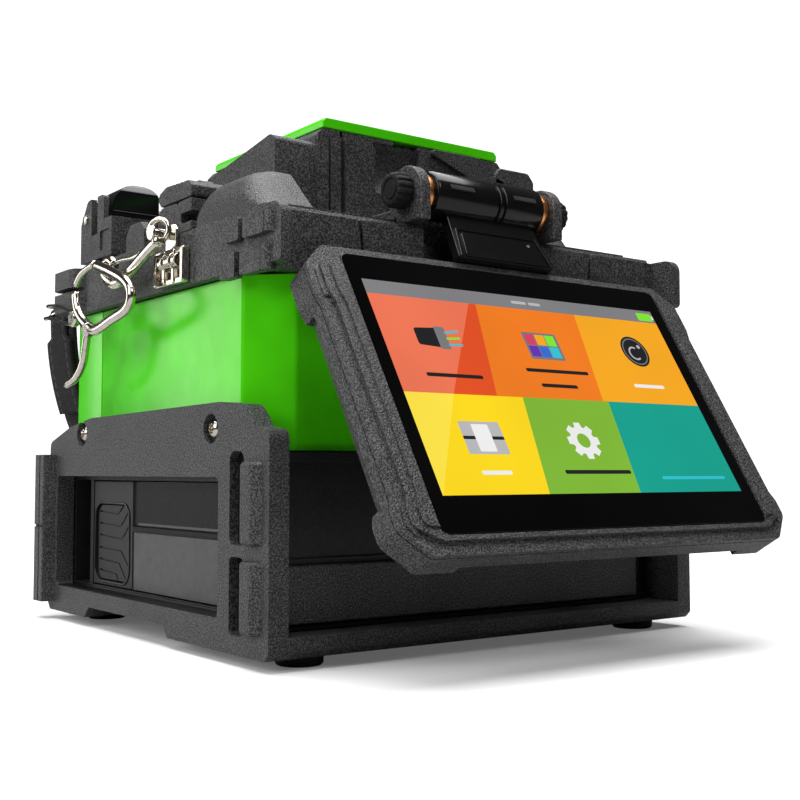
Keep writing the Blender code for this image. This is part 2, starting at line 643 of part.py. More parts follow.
def stadium(start, end, radius, steps=6):
    """A closed loop of points round two places, in the YZ plane."""
    (ay, az), (by, bz) = start, end
    heading = math.degrees(math.atan2(bz - az, by - ay))
    first = circle(start, radius, steps, heading + 90.0, 180.0)
    last = circle(end, radius, steps, heading - 90.0, 180.0)
    return first + last


def strap_profile(count):
    """The hanging line of the stiff webbing: half an ellipse in the XZ plane, from left to right."""
    points = []
    for i in range(count):
        angle = math.pi * (i / (count - 1) - 0.5)
        points.append((STRAP_HALF_SPAN * math.sin(angle), STRAP_TOP_Z - STRAP_SAG * math.cos(angle)))
    return points


def strap_hardware(swing, side, sign):
    """The chrome pieces at one end of the strap: a link on the stud, a clasp with its ring, and a gate."""
    hook_x, clasp_x = sign * HOOK_PLANE, sign * CLASP_PLANE
    across = (1, 0, 0)
    link = [(hook_x, y, z) for y, z in stadium((STRAP_AXIS_Y, STRAP_AXIS_Z), (26.0, 113.5), 4.4)]
    sweep(f"snap_hook_{side}", link, round_section(1.3), across, "chrome", swing, closed=True)
    clasp_line = [
        (27.5, 116.5), (15.0, 112.5), (6.0, 107.5), (5.0, 103.0), (10.0, 99.5),
        (34.0, 96.0), (43.0, 99.0), (47.5, 105.0), (47.0, 109.5),
    ]
    clasp = [(clasp_x, y, z) for y, z in clasp_line]
    hook = sweep(f"strap_clasp_{side}", clasp, round_section(1.5), across, "chrome", swing)
    ring_line = [
        (85.6, 45.5, 102.5), (84.8, 56.0, 105.2), (83.4, 66.0, 107.4), (82.5, 74.0, 108.6),
        (82.3, 80.5, 109.2), (80.6, 83.4, 109.5), (76.6, 85.0, 109.6), (72.4, 87.0, 109.6),
        (71.6, 92.0, 109.6), (71.6, 98.0, 109.6), (72.2, 101.4, 109.4), (74.6, 102.0, 108.4),
        (77.2, 98.0, 106.8), (80.0, 90.0, 105.8), (82.0, 83.6, 105.2), (82.5, 78.0, 104.6),
        (83.2, 68.0, 102.6), (84.6, 57.0, 100.6), (85.6, 47.5, 99.6),
    ]
    ring = [(sign * x, y, z) for x, y, z in ring_line]
    ring_tool = sweep(f"strap_ring_{side}", ring, round_section(1.0), across, "chrome", swing, closed=True)
    apply_tool(hook, ring_tool, "ring", "UNION")
    tail_line = [(35.5, 97.0), (37.5, 90.5), (39.0, 85.5), (45.0, 81.5), (53.5, 79.5)]
    tail = [(clasp_x, y, z) for y, z in tail_line]
    tail_tool = sweep(f"strap_tail_{side}", tail, round_section(1.4), across, "chrome", swing)
    apply_tool(hook, tail_tool, "tail", "UNION")
    gate_axis = pivot(f"hook_gate_{side}_axis", (clasp_x, 46.0, 111.8), swing)
    gate = [(clasp_x, y, z) for y, z in ((46.2, 112.2), (40.0, 116.2), (30.0, 117.2))]
    sweep(f"hook_gate_{side}", gate, round_section(1.1), across, "chrome", gate_axis)


def carry_strap(root):
    """A chrome bracket on each side of the top bumper, and the webbing strap that hangs between them."""
    swing = pivot("strap_axis", (0.0, STRAP_AXIS_Y, STRAP_AXIS_Z), root)
    plate = [
        (-19.0, 105.8), (0.0, 105.8), (0.0, 116.0), (-5.0, 117.0), (-5.2, 122.6), (-7.0, 124.2),
        (-10.0, 124.2), (-11.8, 122.6), (-12.0, 117.0), (-19.0, 116.0),
    ]
    for side, sign in SIDES:
        near, far = outward(sign, 77.3, 79.0)
        bracket = solid(f"strap_bracket_{side}", [("X", plate, near, far)], "chrome", root)
        near, far = outward(sign, 78.0, 85.0)
        join(bracket, "stud", [disc("X", (STRAP_AXIS_Y, STRAP_AXIS_Z), 2.4, near, far, FINE_SIDES)])
        strap_hardware(swing, side, sign)
    half, thin = STRAP_WIDTH / 2, STRAP_THICKNESS / 2
    section = [(-half, -thin), (half, -thin), (half, thin), (-half, thin)]
    line = [(x, STRAP_MIDDLE_Y, z) for x, z in strap_profile(STRAP_POINTS)]
    sweep("carry_strap", line, section, (0, 1, 0), "webbing", swing)


def main():
    clear_scene()
    root = bpy.data.objects.new("splicer", None)
    bpy.context.scene.collection.objects.link(root)
    root.location = Vector((0.0, BODY_SHIFT_Y, 0.0)) * MM
    base_bumper(root)
    base_screws(root)
    feet(root)
    lower_case(root)
    battery(root)
    body_shells(root)
    top_bumper(root)
    top_deck(root)
    deck_keys(root)
    inner_parts(root)
    splice_bay(root)
    sheath_clamps(root)
    heater(root)
    wind_cover(root)
    hinge_bracket(root)
    hinge_knobs(root)
    monitor(root)
    carry_strap(root)


main()
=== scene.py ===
"""Fibre fusion splicer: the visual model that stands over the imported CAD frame.

Lengths are written in millimetres, in the drawing's own frame: X to the right as seen from the front,
Y to the back and Z up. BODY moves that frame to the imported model's place, and MONITOR is the frame of
the tilted monitor, with its hinge axis as the origin and its glass facing -Y.
"""

import math

import bmesh
import bpy
from mathutils import Matrix, Vector


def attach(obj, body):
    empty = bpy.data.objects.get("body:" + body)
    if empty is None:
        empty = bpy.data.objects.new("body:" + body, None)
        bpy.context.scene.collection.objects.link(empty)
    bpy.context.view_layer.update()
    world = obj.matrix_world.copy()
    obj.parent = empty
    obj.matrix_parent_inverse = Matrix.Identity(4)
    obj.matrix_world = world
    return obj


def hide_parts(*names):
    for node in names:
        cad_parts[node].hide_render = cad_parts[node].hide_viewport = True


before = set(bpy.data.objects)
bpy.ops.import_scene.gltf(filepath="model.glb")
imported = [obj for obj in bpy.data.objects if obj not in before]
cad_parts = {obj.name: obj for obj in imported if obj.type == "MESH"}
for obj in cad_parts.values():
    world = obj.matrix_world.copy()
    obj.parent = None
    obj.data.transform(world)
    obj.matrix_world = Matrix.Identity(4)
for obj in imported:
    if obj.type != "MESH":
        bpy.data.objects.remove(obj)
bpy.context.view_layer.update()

MM = 0.001
BODY = Matrix.Translation((0.0, 15.66 * MM, 0.0))
TILT = math.radians(31.2)
HINGE = Matrix.Translation((0.0, -57.5 * MM, 131.8 * MM))
MONITOR = BODY @ HINGE @ Matrix.Rotation(-TILT, 4, "X")
SIDES = (("left", -1.0), ("right", 1.0))


# ---------------------------------------------------------------- camera


def make_camera():
    """The photograph's viewpoint: low, from the front left, with the lens tipped up a little."""
    data = bpy.data.cameras.new("camera")
    data.lens = 54.045
    data.sensor_width = 36.0
    data.clip_start = 0.01
    camera = bpy.data.objects.new("camera", data)
    bpy.context.scene.collection.objects.link(camera)
    camera.location = (-0.2342, -0.31724, 0.0509)
    camera.rotation_euler = (math.radians(93.4), 0.0, math.radians(-36.6))
    bpy.context.scene.camera = camera


# ---------------------------------------------------------------- materials


class Look:
    """A Principled material that is built up node by node."""

    def __init__(self, name, colour, roughness, metallic=0.0, **sockets):
        self.made = bpy.data.materials.new(name)
        self.made.use_nodes = True
        self.tree = self.made.node_tree
        self.shader = self.tree.nodes["Principled BSDF"]
        self.set("Base Color", (*colour, 1.0))
        self.set("Roughness", roughness)
        self.set("Metallic", metallic)
        for socket, value in sockets.items():
            self.set(socket.replace("_", " "), value)
        self.place = self.node("ShaderNodeTexCoord").outputs["Object"]

    def set(self, socket, value):
        self.shader.inputs[socket].default_value = value

    def feed(self, socket, source):
        self.tree.links.new(source, self.shader.inputs[socket])

    def node(self, kind, links=None, **values):
        made = self.tree.nodes.new(kind)
        for name, value in values.items():
            if name in made.inputs:
                made.inputs[name].default_value = value
            else:
                setattr(made, name, value)
        for name, source in (links or {}).items():
            self.tree.links.new(source, made.inputs[name])
        return made

    def noise(self, size, detail=3.0, place=None):
        """Noise whose features are about that many millimetres wide."""
        made = self.node("ShaderNodeTexNoise", {"Vector": place or self.place})
        made.inputs["Scale"].default_value = 1.0 / (size * MM)
        made.inputs["Detail"].default_value = detail
        return made.outputs["Fac"]

    def cells(self, size):
        made = self.node("ShaderNodeTexVoronoi", {"Vector": self.place})
        made.feature = "SMOOTH_F1"
        made.inputs["Scale"].default_value = 1.0 / (size * MM)
        return made.outputs["Distance"]

    def ramp(self, source, stops):
        """Colours or greys along the source's value, from (position, colour) pairs."""
        made = self.node("ShaderNodeValToRGB", {"Fac": source})
        elements = made.color_ramp.elements
        while len(elements) < len(stops):
            elements.new(0.5)
        for element, (position, colour) in zip(elements, stops):
            element.position = position
            element.color = (*colour, 1.0) if hasattr(colour, "__len__") else (colour, colour, colour, 1.0)
        return made.outputs["Color"]

    def spread(self, source, low, high, start=0.3, end=0.7):
        """The source's middle range turned into low..high."""
        made = self.node("ShaderNodeMapRange", {"Value": source})
        for socket, value in (("From Min", start), ("From Max", end), ("To Min", low), ("To Max", high)):
            made.inputs[socket].default_value = value
        return made.outputs["Result"]

    def bump(self, height, depth, strength=1.0, under=None):
        links = {"Height": height}
        if under:
            links["Normal"] = under
        made = self.node("ShaderNodeBump", links)
        made.inputs["Distance"].default_value = depth * MM
        made.inputs["Strength"].default_value = strength
        return made.outputs["Normal"]

    def mix(self, factor, first, second, kind="MIX"):
        made = self.tree.nodes.new("ShaderNodeMix")
        made.data_type = "RGBA"
        made.blend_type = kind
        for index, source in ((0, factor), (6, first), (7, second)):
            if hasattr(source, "links"):
                self.tree.links.new(source, made.inputs[index])
            elif hasattr(source, "__len__"):
                made.inputs[index].default_value = (*source, 1.0)
            else:
                made.inputs[index].default_value = source
        return made.outputs[2]


def grained(name, dark, light, grain, roughness, depth, specular=0.35):
    """Moulded plastic with a sandy grain: pale flecks over a dark ground."""
    look = Look(name, dark, roughness, Specular_IOR_Level=specular)
    coarse = look.noise(grain, 2.0)
    fine = look.noise(grain * 0.45, 1.0)
    cells = look.cells(grain * 0.8)
    flecks = look.ramp(coarse, [(0.45, dark), (0.60, light)])
    patches = look.spread(look.noise(14.0, 2.0), 0.82, 1.12)
    tinted = look.mix(1.0, flecks, look.ramp(patches, [(0.0, 0.0), (1.0, 1.0)]), "MULTIPLY")
    look.feed("Base Color", tinted)
    look.feed("Roughness", look.spread(fine, roughness - 0.1, roughness + 0.12))
    under = look.bump(cells, depth, 0.8)
    look.feed("Normal", look.bump(coarse, depth * 0.8, 0.7, under))
    return look.made


def smooth_plastic(name, colour, roughness, specular=0.5, ripple=0.02, size=3.0, tint=(1.0, 1.0, 1.0)):
    """Plain moulded plastic, with a faint ripple and uneven sheen."""
    look = Look(name, colour, roughness, Specular_IOR_Level=specular, Specular_Tint=(*tint, 1.0))
    broad = look.noise(size * 6.0, 3.0)
    paler = [min(1.0, c * 1.25 + 0.001) for c in colour]
    look.feed("Base Color", look.ramp(broad, [(0.35, colour), (0.70, paler)]))
    look.feed("Roughness", look.spread(look.noise(size, 3.0), roughness * 0.85, roughness * 1.2))
    look.feed("Normal", look.bump(look.noise(size * 0.6, 2.0), ripple, 0.5))
    return look.made


def bright_metal(name, colour, roughness, brushed=0.0):
    """Plated or machined metal, with fine scratches and dull spots."""
    look = Look(name, colour, roughness, 1.0)
    spots = look.noise(1.6, 4.0)
    duller = [c * 0.72 for c in colour]
    look.feed("Base Color", look.ramp(spots, [(0.30, duller), (0.50, colour)]))
    look.feed("Roughness", look.spread(spots, roughness * 1.9, roughness * 0.8))
    look.feed("Normal", look.bump(look.noise(0.35, 2.0), 0.02 + brushed, 0.35))
    return look.made


def woven(name):
    """Black webbing: a twill of thick threads across and along, with two rows of pale stitches."""
    thread_width, stitch_pitch, row_at, row_half = 1.3, 3.0, 7.4, 0.35
    look = Look(
        name, (0.010, 0.010, 0.011), 0.9, Sheen_Weight=0.06, Sheen_Roughness=0.5, Specular_IOR_Level=0.2,
    )
    place = look.node("ShaderNodeUVMap").outputs["UV"]
    parts = look.node("ShaderNodeSeparateXYZ", {"Vector": place})
    along, across = parts.outputs["X"], parts.outputs["Y"]

    def math_node(operation, first, second=0.0):
        made = look.tree.nodes.new("ShaderNodeMath")
        made.operation = operation
        for index, source in enumerate((first, second)):
            if hasattr(source, "links"):
                look.tree.links.new(source, made.inputs[index])
            else:
                made.inputs[index].default_value = source
        return made.outputs[0]

    def wave(line, pitch):
        return math_node("SINE", math_node("MULTIPLY", line, math.tau / pitch))

    warp = wave(math_node("ADD", along, across), thread_width)
    weft = wave(math_node("SUBTRACT", along, across), thread_width)
    fuzz = look.noise(0.5, 3.0)
    height = math_node("ADD", math_node("MULTIPLY", warp, weft), fuzz)
    from_row = math_node("ABSOLUTE", math_node("SUBTRACT", math_node("ABSOLUTE", across), row_at))
    row = math_node("LESS_THAN", from_row, row_half)
    dash = math_node("GREATER_THAN", wave(along, stitch_pitch), -0.4)
    stitch = math_node("MULTIPLY", row, dash)
    stops = [(0.2, (0.002, 0.002, 0.002)), (0.9, (0.022, 0.022, 0.023))]
    thread = look.ramp(look.spread(height, 0.0, 1.0, -0.6, 1.4), stops)
    look.feed("Base Color", look.mix(stitch, thread, (0.10, 0.10, 0.10)))
    look.feed("Roughness", look.spread(fuzz, 0.8, 0.98))
    look.feed("Normal", look.bump(math_node("ADD", height, stitch), 0.30, 0.9))
    return look.made


def lit(name, colour, strength=1.0):
    """A patch of the lit display: a glowing colour, as smooth as the glass."""
    look = Look(name, (0.004, 0.004, 0.004), 0.06, Emission_Strength=strength, Specular_IOR_Level=0.3)
    paler = [min(1.0, c * 1.10) for c in colour]
    look.feed("Emission Color", look.ramp(look.noise(30.0, 1.0), [(0.30, colour), (0.75, paler)]))
    look.feed("Roughness", look.spread(look.noise(9.0, 3.0), 0.04, 0.09))
    return look.made


LOOKS = {
    "bumper": grained("bumper", (0.009, 0.009, 0.0095), (0.105, 0.105, 0.106), 0.46, 0.47, 0.24, 0.45),
    # Near-black look: the own colour of the ledge, rails and trim, and also painted shade on the side groove
    # floors and the battery's upper panel.
    "black_and_painted_shade": grained("black_and_painted_shade", (0.003, 0.003, 0.003), (0.008, 0.008, 0.008), 0.40, 0.42, 0.04, 0.12),
    "panel": grained("panel", (0.006, 0.006, 0.007), (0.016, 0.016, 0.017), 0.40, 0.45, 0.08),
    "case": smooth_plastic("case", (0.010, 0.010, 0.011), 0.38, 0.4, 0.03, 2.0),
    "battery": smooth_plastic("battery", (0.030, 0.030, 0.032), 0.36, 0.5, 0.01, 2.5),
    "rubber": grained("rubber", (0.005, 0.005, 0.005), (0.014, 0.014, 0.014), 0.5, 0.68, 0.08, 0.25),
    "green": smooth_plastic("green", (0.066, 0.620, 0.004), 0.22, 0.42, 0.005, 4.0, (0.50, 1.0, 0.14)),
    "gloss": smooth_plastic("gloss", (0.004, 0.004, 0.0045), 0.17, 0.32, 0.010, 4.0),
    "glass": smooth_plastic("glass", (0.001, 0.001, 0.0012), 0.035, 0.22, 0.004, 9.0),
    "steel": bright_metal("steel", (0.56, 0.56, 0.57), 0.26, 0.03),
    "chrome": bright_metal("chrome", (0.62, 0.575, 0.50), 0.09),
    "brass": bright_metal("brass", (0.95, 0.40, 0.14), 0.22),
    "board": grained("board", (0.006, 0.070, 0.025), (0.012, 0.110, 0.040), 1.2, 0.45, 0.05),
    "ceramic": smooth_plastic("ceramic", (0.70, 0.68, 0.63), 0.32, 0.5, 0.02, 1.5),
    "webbing": woven("webbing"),
}


# ---------------------------------------------------------------- shapes


def circle(centre, radius, sides=48, start=0.0, turn=360.0):
    """Points round a circle, or along an arc when turn is under a full turn."""
    full = abs(turn) >= 360.0
    count = sides if full else sides + 1
    points = []
    for i in range(count):
        angle = math.radians(start + turn * i / sides)
        points.append((centre[0] + radius * math.cos(angle), centre[1] + radius * math.sin(angle)))
    return points


def rounded(outline, radius, steps=5):
    """The outline with each corner turned into an arc. radius is one number, or one for each corner."""
    corners = [Vector(p) for p in outline]
    radii = radius if hasattr(radius, "__len__") else [radius] * len(corners)
    points = []
    for i, (corner, size) in enumerate(zip(corners, radii)):
        back = corners[i - 1] - corner
        ahead = corners[(i + 1) % len(corners)] - corner
        half = back.angle(ahead, math.pi) / 2
        if size <= 0 or half > math.radians(88):
            points.append(tuple(corner))
            continue
        reach = min(size / math.tan(half), back.length * 0.48, ahead.length * 0.48)
        size = reach * math.tan(half)
        middle = corner + (back.normalized() + ahead.normalized()).normalized() * (size / math.sin(half))
        first = corner + back.normalized() * reach - middle
        last = corner + ahead.normalized() * reach - middle
        sweep_angle = first.angle_signed(last)
        for k in range(steps + 1):
            turn = Matrix.Rotation(-sweep_angle * k / steps, 2)
            points.append(tuple(middle + turn @ first))
    return points


def rectangle(low, high, radius=0.0):
    outline = [(low[0], low[1]), (high[0], low[1]), (high[0], high[1]), (low[0], high[1])]
    return rounded(outline, radius) if radius else outline


def block(low, high, radius=0.0, axis="Z"):
    """A box whose four edges along the axis are rounded."""
    keep = {"X": (1, 2, 0), "Y": (0, 2, 1), "Z": (0, 1, 2)}[axis]
    flat = rectangle((low[keep[0]], low[keep[1]]), (high[keep[0]], high[keep[1]]), radius)
    return (axis, flat, low[keep[2]], high[keep[2]])


def disc(axis, centre, radius, start, end, sides=48):
    return (axis, circle(centre, radius, sides), start, end)


def mirrored(shapes):
    """The shapes and their copies on the other side of the X = 0 plane."""
    copies = []
    for axis, outline, start, end in shapes:
        if axis == "X":
            copies.append((axis, outline, -end, -start))
        else:
            copies.append((axis, [(-a, b) for a, b in outline], start, end))
    return list(shapes) + copies


def one_side(sign, shapes):
    """The shapes, drawn for the left side, on the side that the sign names."""
    return list(shapes) if sign < 0 else mirrored(shapes)[len(shapes):]


def stroke(points, width):
    """A thin outline that follows a bent line, for grooves and ridges."""
    line = [Vector(p) for p in points]
    left, right = [], []
    for i, point in enumerate(line):
        before = (point - line[i - 1]).normalized() if i else (line[1] - point).normalized()
        after = (line[i + 1] - point).normalized() if i + 1 < len(line) else before
        side = Vector((-(before + after).y, (before + after).x)).normalized() * width / 2
        side /= max(0.4, abs(side.normalized().dot(Vector((-after.y, after.x)))))
        left.append(tuple(point + side))
        right.append(tuple(point - side))
    return left + right[::-1]


def placed(axis, point, along):
    a, b = point
    if axis == "X":
        return Vector((along, a, b)) * MM
    if axis == "Y":
        return Vector((a, along, b)) * MM
    return Vector((a, b, along)) * MM


def walls(shell, low, high):
    """The faces between two rings of vertices."""
    for i in range(len(low)):
        j = (i + 1) % len(low)
        shell.faces.new((low[i], low[j], high[j], high[i]))


def mesh_from(shell, name, place=None):
    """The shell as a mesh, with its faces pointing out."""
    bmesh.ops.recalc_face_normals(shell, faces=shell.faces)
    if place is not None:
        shell.transform(place)
    mesh = bpy.data.meshes.new(name)
    shell.to_mesh(mesh)
    shell.free()
    return mesh


def mesh_of(name, shapes):
    """One mesh with a closed shell for each shape."""
    shells = bmesh.new()
    for axis, outline, start, end in shapes:
        low = [shells.verts.new(placed(axis, point, start)) for point in outline]
        high = [shells.verts.new(placed(axis, point, end)) for point in outline]
        shells.faces.new(low)
        shells.faces.new(high)
        walls(shells, low, high)
    return mesh_from(shells, name)


def linked(name, mesh):
    made = bpy.data.objects.new(name, mesh)
    bpy.context.scene.collection.objects.link(made)
    return made


def settle(piece, body, look, stands_for=()):
    """Gives a piece its material and its body, and hides the CAD nodes that it stands for."""
    piece.data.materials.clear()
    piece.data.materials.append(LOOKS[look])
    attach(piece, body)
    if stands_for:
        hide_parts(*stands_for)
    return piece


def lofted(name, rings, place=BODY, closed=False, sharp=None):
    """A smooth mesh through rings of points, closed into a loop or capped at both ends."""
    shell = bmesh.new()
    rings = [[shell.verts.new(point) for point in ring] for ring in rings]
    if not closed:
        shell.faces.new(rings[0])
        shell.faces.new(rings[-1])
    for ring, following in zip(rings, rings[1:] + (rings[:1] if closed else [])):
        walls(shell, ring, following)
    mesh = mesh_from(shell, name, place)
    mesh.shade_smooth()
    if sharp:
        mesh.set_sharp_from_angle(angle=math.radians(sharp))
    return mesh


def round_edges(piece, width, segments, angle):
    """A bevel on the edges that turn by more than the angle."""
    step = piece.modifiers.new("rounded_edges", "BEVEL")
    step.width = width * MM
    step.segments = segments
    step.limit_method = "ANGLE"
    step.angle_limit = math.radians(angle)
    return step


def moulded(
    name, body, look, shapes, cuts=(), bevel=0.5, place=BODY, stands_for=(), steps=3, adds=(),
):
    """A solid piece: the shapes joined, less the cuts, with adds set on it, and its edges rounded."""
    base = linked(name, mesh_of(name, shapes[:1]))
    tools = []
    for operation, group in (("UNION", shapes[1:]), ("DIFFERENCE", cuts)):
        for shape in group:
            tool = linked(f"{name}_tool", mesh_of(f"{name}_tool", [shape]))
            tools.append(tool)
            step = base.modifiers.new(operation, "BOOLEAN")
            step.object = tool
            step.operation = operation
            step.solver = "EXACT"
    bpy.context.view_layer.update()
    evaluated = base.evaluated_get(bpy.context.evaluated_depsgraph_get())
    carved = bpy.data.meshes.new_from_object(evaluated)
    base.modifiers.clear()
    for tool in tools:
        bpy.data.objects.remove(tool)
    tidied = bmesh.new()
    tidied.from_mesh(carved)
    bmesh.ops.remove_doubles(tidied, verts=tidied.verts, dist=0.01 * MM)
    bmesh.ops.dissolve_limit(
        tidied, angle_limit=math.radians(0.3), verts=tidied.verts, edges=tidied.edges
    )
    if adds:
        extra = mesh_of(f"{name}_adds", adds)
        tidied.from_mesh(extra)
        bpy.data.meshes.remove(extra)
    tidied.transform(place)
    tidied.to_mesh(carved)
    tidied.free()
    base.data = carved
    carved.name = name
    if bevel:
        step = round_edges(base, bevel, steps, 28)
        step.use_clamp_overlap = True
        step.harden_normals = True
    base.data.shade_smooth()
    base.data.set_sharp_from_angle(angle=math.radians(50))
    settle(base, body, look, stands_for)


def curve_through(points, per_span=6, closed=False):
    """A smooth line through the points."""
    line = [Vector(p) for p in points]
    count = len(line)
    spans = count if closed else count - 1
    smooth = []
    for i in range(spans):
        a = line[(i - 1) % count] if closed or i else line[0] * 2 - line[1]
        b, c = line[i], line[(i + 1) % count]
        d = line[(i + 2) % count] if closed or i + 2 < count else line[-1] * 2 - line[-2]
        for k in range(per_span):
            t = k / per_span
            smooth.append(
                0.5 * ((2 * b) + (c - a) * t + (2 * a - 5 * b + 4 * c - d) * t * t
                       + (3 * b - a - 3 * c + d) * t ** 3)
            )
    if not closed:
        smooth.append(line[-1])
    return smooth


def moulded_pair(name, body, look, shapes, cuts=(), bevel=0.5, stands_for=None, adds=()):
    """A moulded piece on each side, drawn for the left one. {} in a name becomes left or right."""
    for side, sign in SIDES:
        moulded(
            name.format(side), body.format(side), look, one_side(sign, shapes), one_side(sign, cuts), bevel,
            stands_for=[stands_for.format(side)] if stands_for else (), adds=one_side(sign, adds),
        )


def swept(name, path, sections, side=(1, 0, 0)):
    """A mesh along the path, from one outline for each of its points."""
    across = Vector(side).normalized()
    rings = []
    for i, point in enumerate(path):
        before = path[i - 1] if i else point
        after = path[i + 1] if i + 1 < len(path) else point
        normal = across.cross((after - before).normalized()).normalized()
        rings.append([(point + across * s + normal * t) * MM for s, t in sections[i]])
    return lofted(name, rings)


def joined_mesh(name, meshes):
    """Several meshes as one."""
    whole = bmesh.new()
    for mesh in meshes:
        whole.from_mesh(mesh)
        bpy.data.meshes.remove(mesh)
    mesh = bpy.data.meshes.new(name)
    whole.to_mesh(mesh)
    whole.free()
    mesh.shade_smooth()
    return mesh


def turned_piece(name, body, look, axis, centre, profile, stands_for=(), **options):
    """A turned mesh as a piece on its body."""
    mesh = turned(name, axis, centre, profile, **options)
    settle(linked(name, mesh), body, look, stands_for)


def facing(sign, profile):
    """A profile drawn along X for the left side, on the side that the sign names."""
    return [(-sign * along, radius) for along, radius in profile]


def turned(name, axis, centre, profile, place=BODY, sides=64, flutes=None):
    """A mesh turned about an axis, from (along, radius) pairs. flutes is (count, depth, first, last)."""
    rings = []
    for index, (along, radius) in enumerate(profile):
        ring = []
        for k in range(sides):
            angle = math.tau * k / sides
            size = radius
            if flutes and flutes[2] <= index <= flutes[3]:
                size -= flutes[1] * max(0.0, math.cos(angle * flutes[0])) ** 0.7
            point = (centre[0] + size * math.cos(angle), centre[1] + size * math.sin(angle))
            ring.append(placed(axis, point, along))
        rings.append(ring)
    return lofted(name, rings, place, sharp=40)


# ---------------------------------------------------------------- carry strap


STRAP_Y = 93.6
STRAP_HALF = 11.0
STRAP_SPAN = 71.6
STRAP_TOP = 108.0
STRAP_DROP = 91.0
STRAP_POINTS = 181


def strap_line():
    """The hanging line of the webbing: half an ellipse in the XZ plane, from left to right."""
    points = []
    for i in range(STRAP_POINTS):
        angle = math.pi * (i / (STRAP_POINTS - 1) - 0.5)
        z = STRAP_TOP - STRAP_DROP * math.cos(angle)
        points.append(Vector((STRAP_SPAN * math.sin(angle), STRAP_Y, z)))
    return points


def carry_strap():
    """Black webbing, doubled and stitched near its ends."""
    path = strap_line()
    columns, half_thickness = 12, 0.86
    section = []
    for k in range(columns + 1):
        y = STRAP_HALF * (2 * k / columns - 1)
        section.append((y, half_thickness - 0.25 * abs(y / STRAP_HALF) ** 6))
    section += [(y, -t) for y, t in reversed(section)]
    sections = []
    for i in range(len(path)):
        wave = 0.10 * math.sin(i * 1.9) + 0.06 * math.sin(i * 4.3 + 1.0)
        sections.append([(s + (wave if abs(s) > 10.0 else 0.0), t) for s, t in section])
    mesh = swept("carry_strap_webbing", path, sections, (0, 1, 0))
    reach = [0.0]
    for a, b in zip(path, path[1:]):
        reach.append(reach[-1] + (b - a).length)
    lay_along(mesh, section, reach)
    strap = linked("carry_strap_webbing", mesh)
    settle(strap, "strap", "webbing", ["carry_strap"])
    strap_ends(section)
    pieces = strap_hardware()


def lay_along(mesh, section, reach):
    """Gives the webbing its weave's coordinates: millimetres along it and across it."""
    layer = mesh.uv_layers.new(name="along_and_across")
    for loop in mesh.loops:
        row, column = divmod(loop.vertex_index, len(section))
        layer.data[loop.index].uv = (reach[row], section[column][0])


def strap_ends(section):
    """The doubled webbing at each end: it turns over the ring's bar and is sewn down on the outside."""
    narrow = [(s * 0.66, t * 0.72) for s, t in section]
    for side, sign in SIDES:
        down = [p for p in strap_line() if p.x * sign > 0 and p.z > 72.0]
        down.sort(key=lambda p: p.z)
        path = [Vector((p.x + sign * 1.75, STRAP_Y, p.z)) for p in down]
        bar_x, bar_z = sign * STRAP_SPAN, 109.4
        for angle in (20.0, 60.0, 100.0, 140.0, 170.0):
            turn = math.radians(angle)
            x = bar_x + sign * 1.9 * math.cos(turn)
            path.append(Vector((x, STRAP_Y, bar_z + 1.6 * math.sin(turn))))
        sections = [section if i < len(down) - 6 else narrow for i in range(len(path))]
        mesh = swept("strap_end", path, sections, (0, 1, 0))
        lay_along(mesh, section, [row * 1.4 for row in range(len(path))])
        settle(linked(f"strap_fold_{side}", mesh), "strap", "webbing")


def wire(x, points, radius, flat=1.0):
    """A bent wire in the plane at x, through (y, z) points."""
    path = curve_through([(x, y, z) for y, z in points], 5)
    section = [(a, b * flat) for a, b in circle((0.0, 0.0), radius, 14)]
    return swept("wire", path, [section] * len(path))


def ring_mesh(points, radius):
    """A closed wire that may turn any way in space."""
    path = curve_through(points, 4, True)
    section = circle((0.0, 0.0), radius, 12)
    off_wire = Vector((0.30, 0.20, 0.93))
    rings = []
    for i, point in enumerate(path):
        ahead = (path[(i + 1) % len(path)] - path[i - 1]).normalized()
        first = ahead.cross(off_wire).normalized()
        second = ahead.cross(first)
        rings.append([(point + first * a + second * b) * MM for a, b in section])
    return lofted("ring", rings, closed=True)


def hub(x, place, half, inner, edge, crown_half, crown):
    """A short ring about an X axis, with a raised crown round its middle."""
    rim = [(-half, inner), (-half, edge), (-crown_half, crown)]
    rim += [(-along, radius) for along, radius in reversed(rim)]
    return turned("hub", "X", place, [(x + along, radius) for along, radius in rim], sides=32)


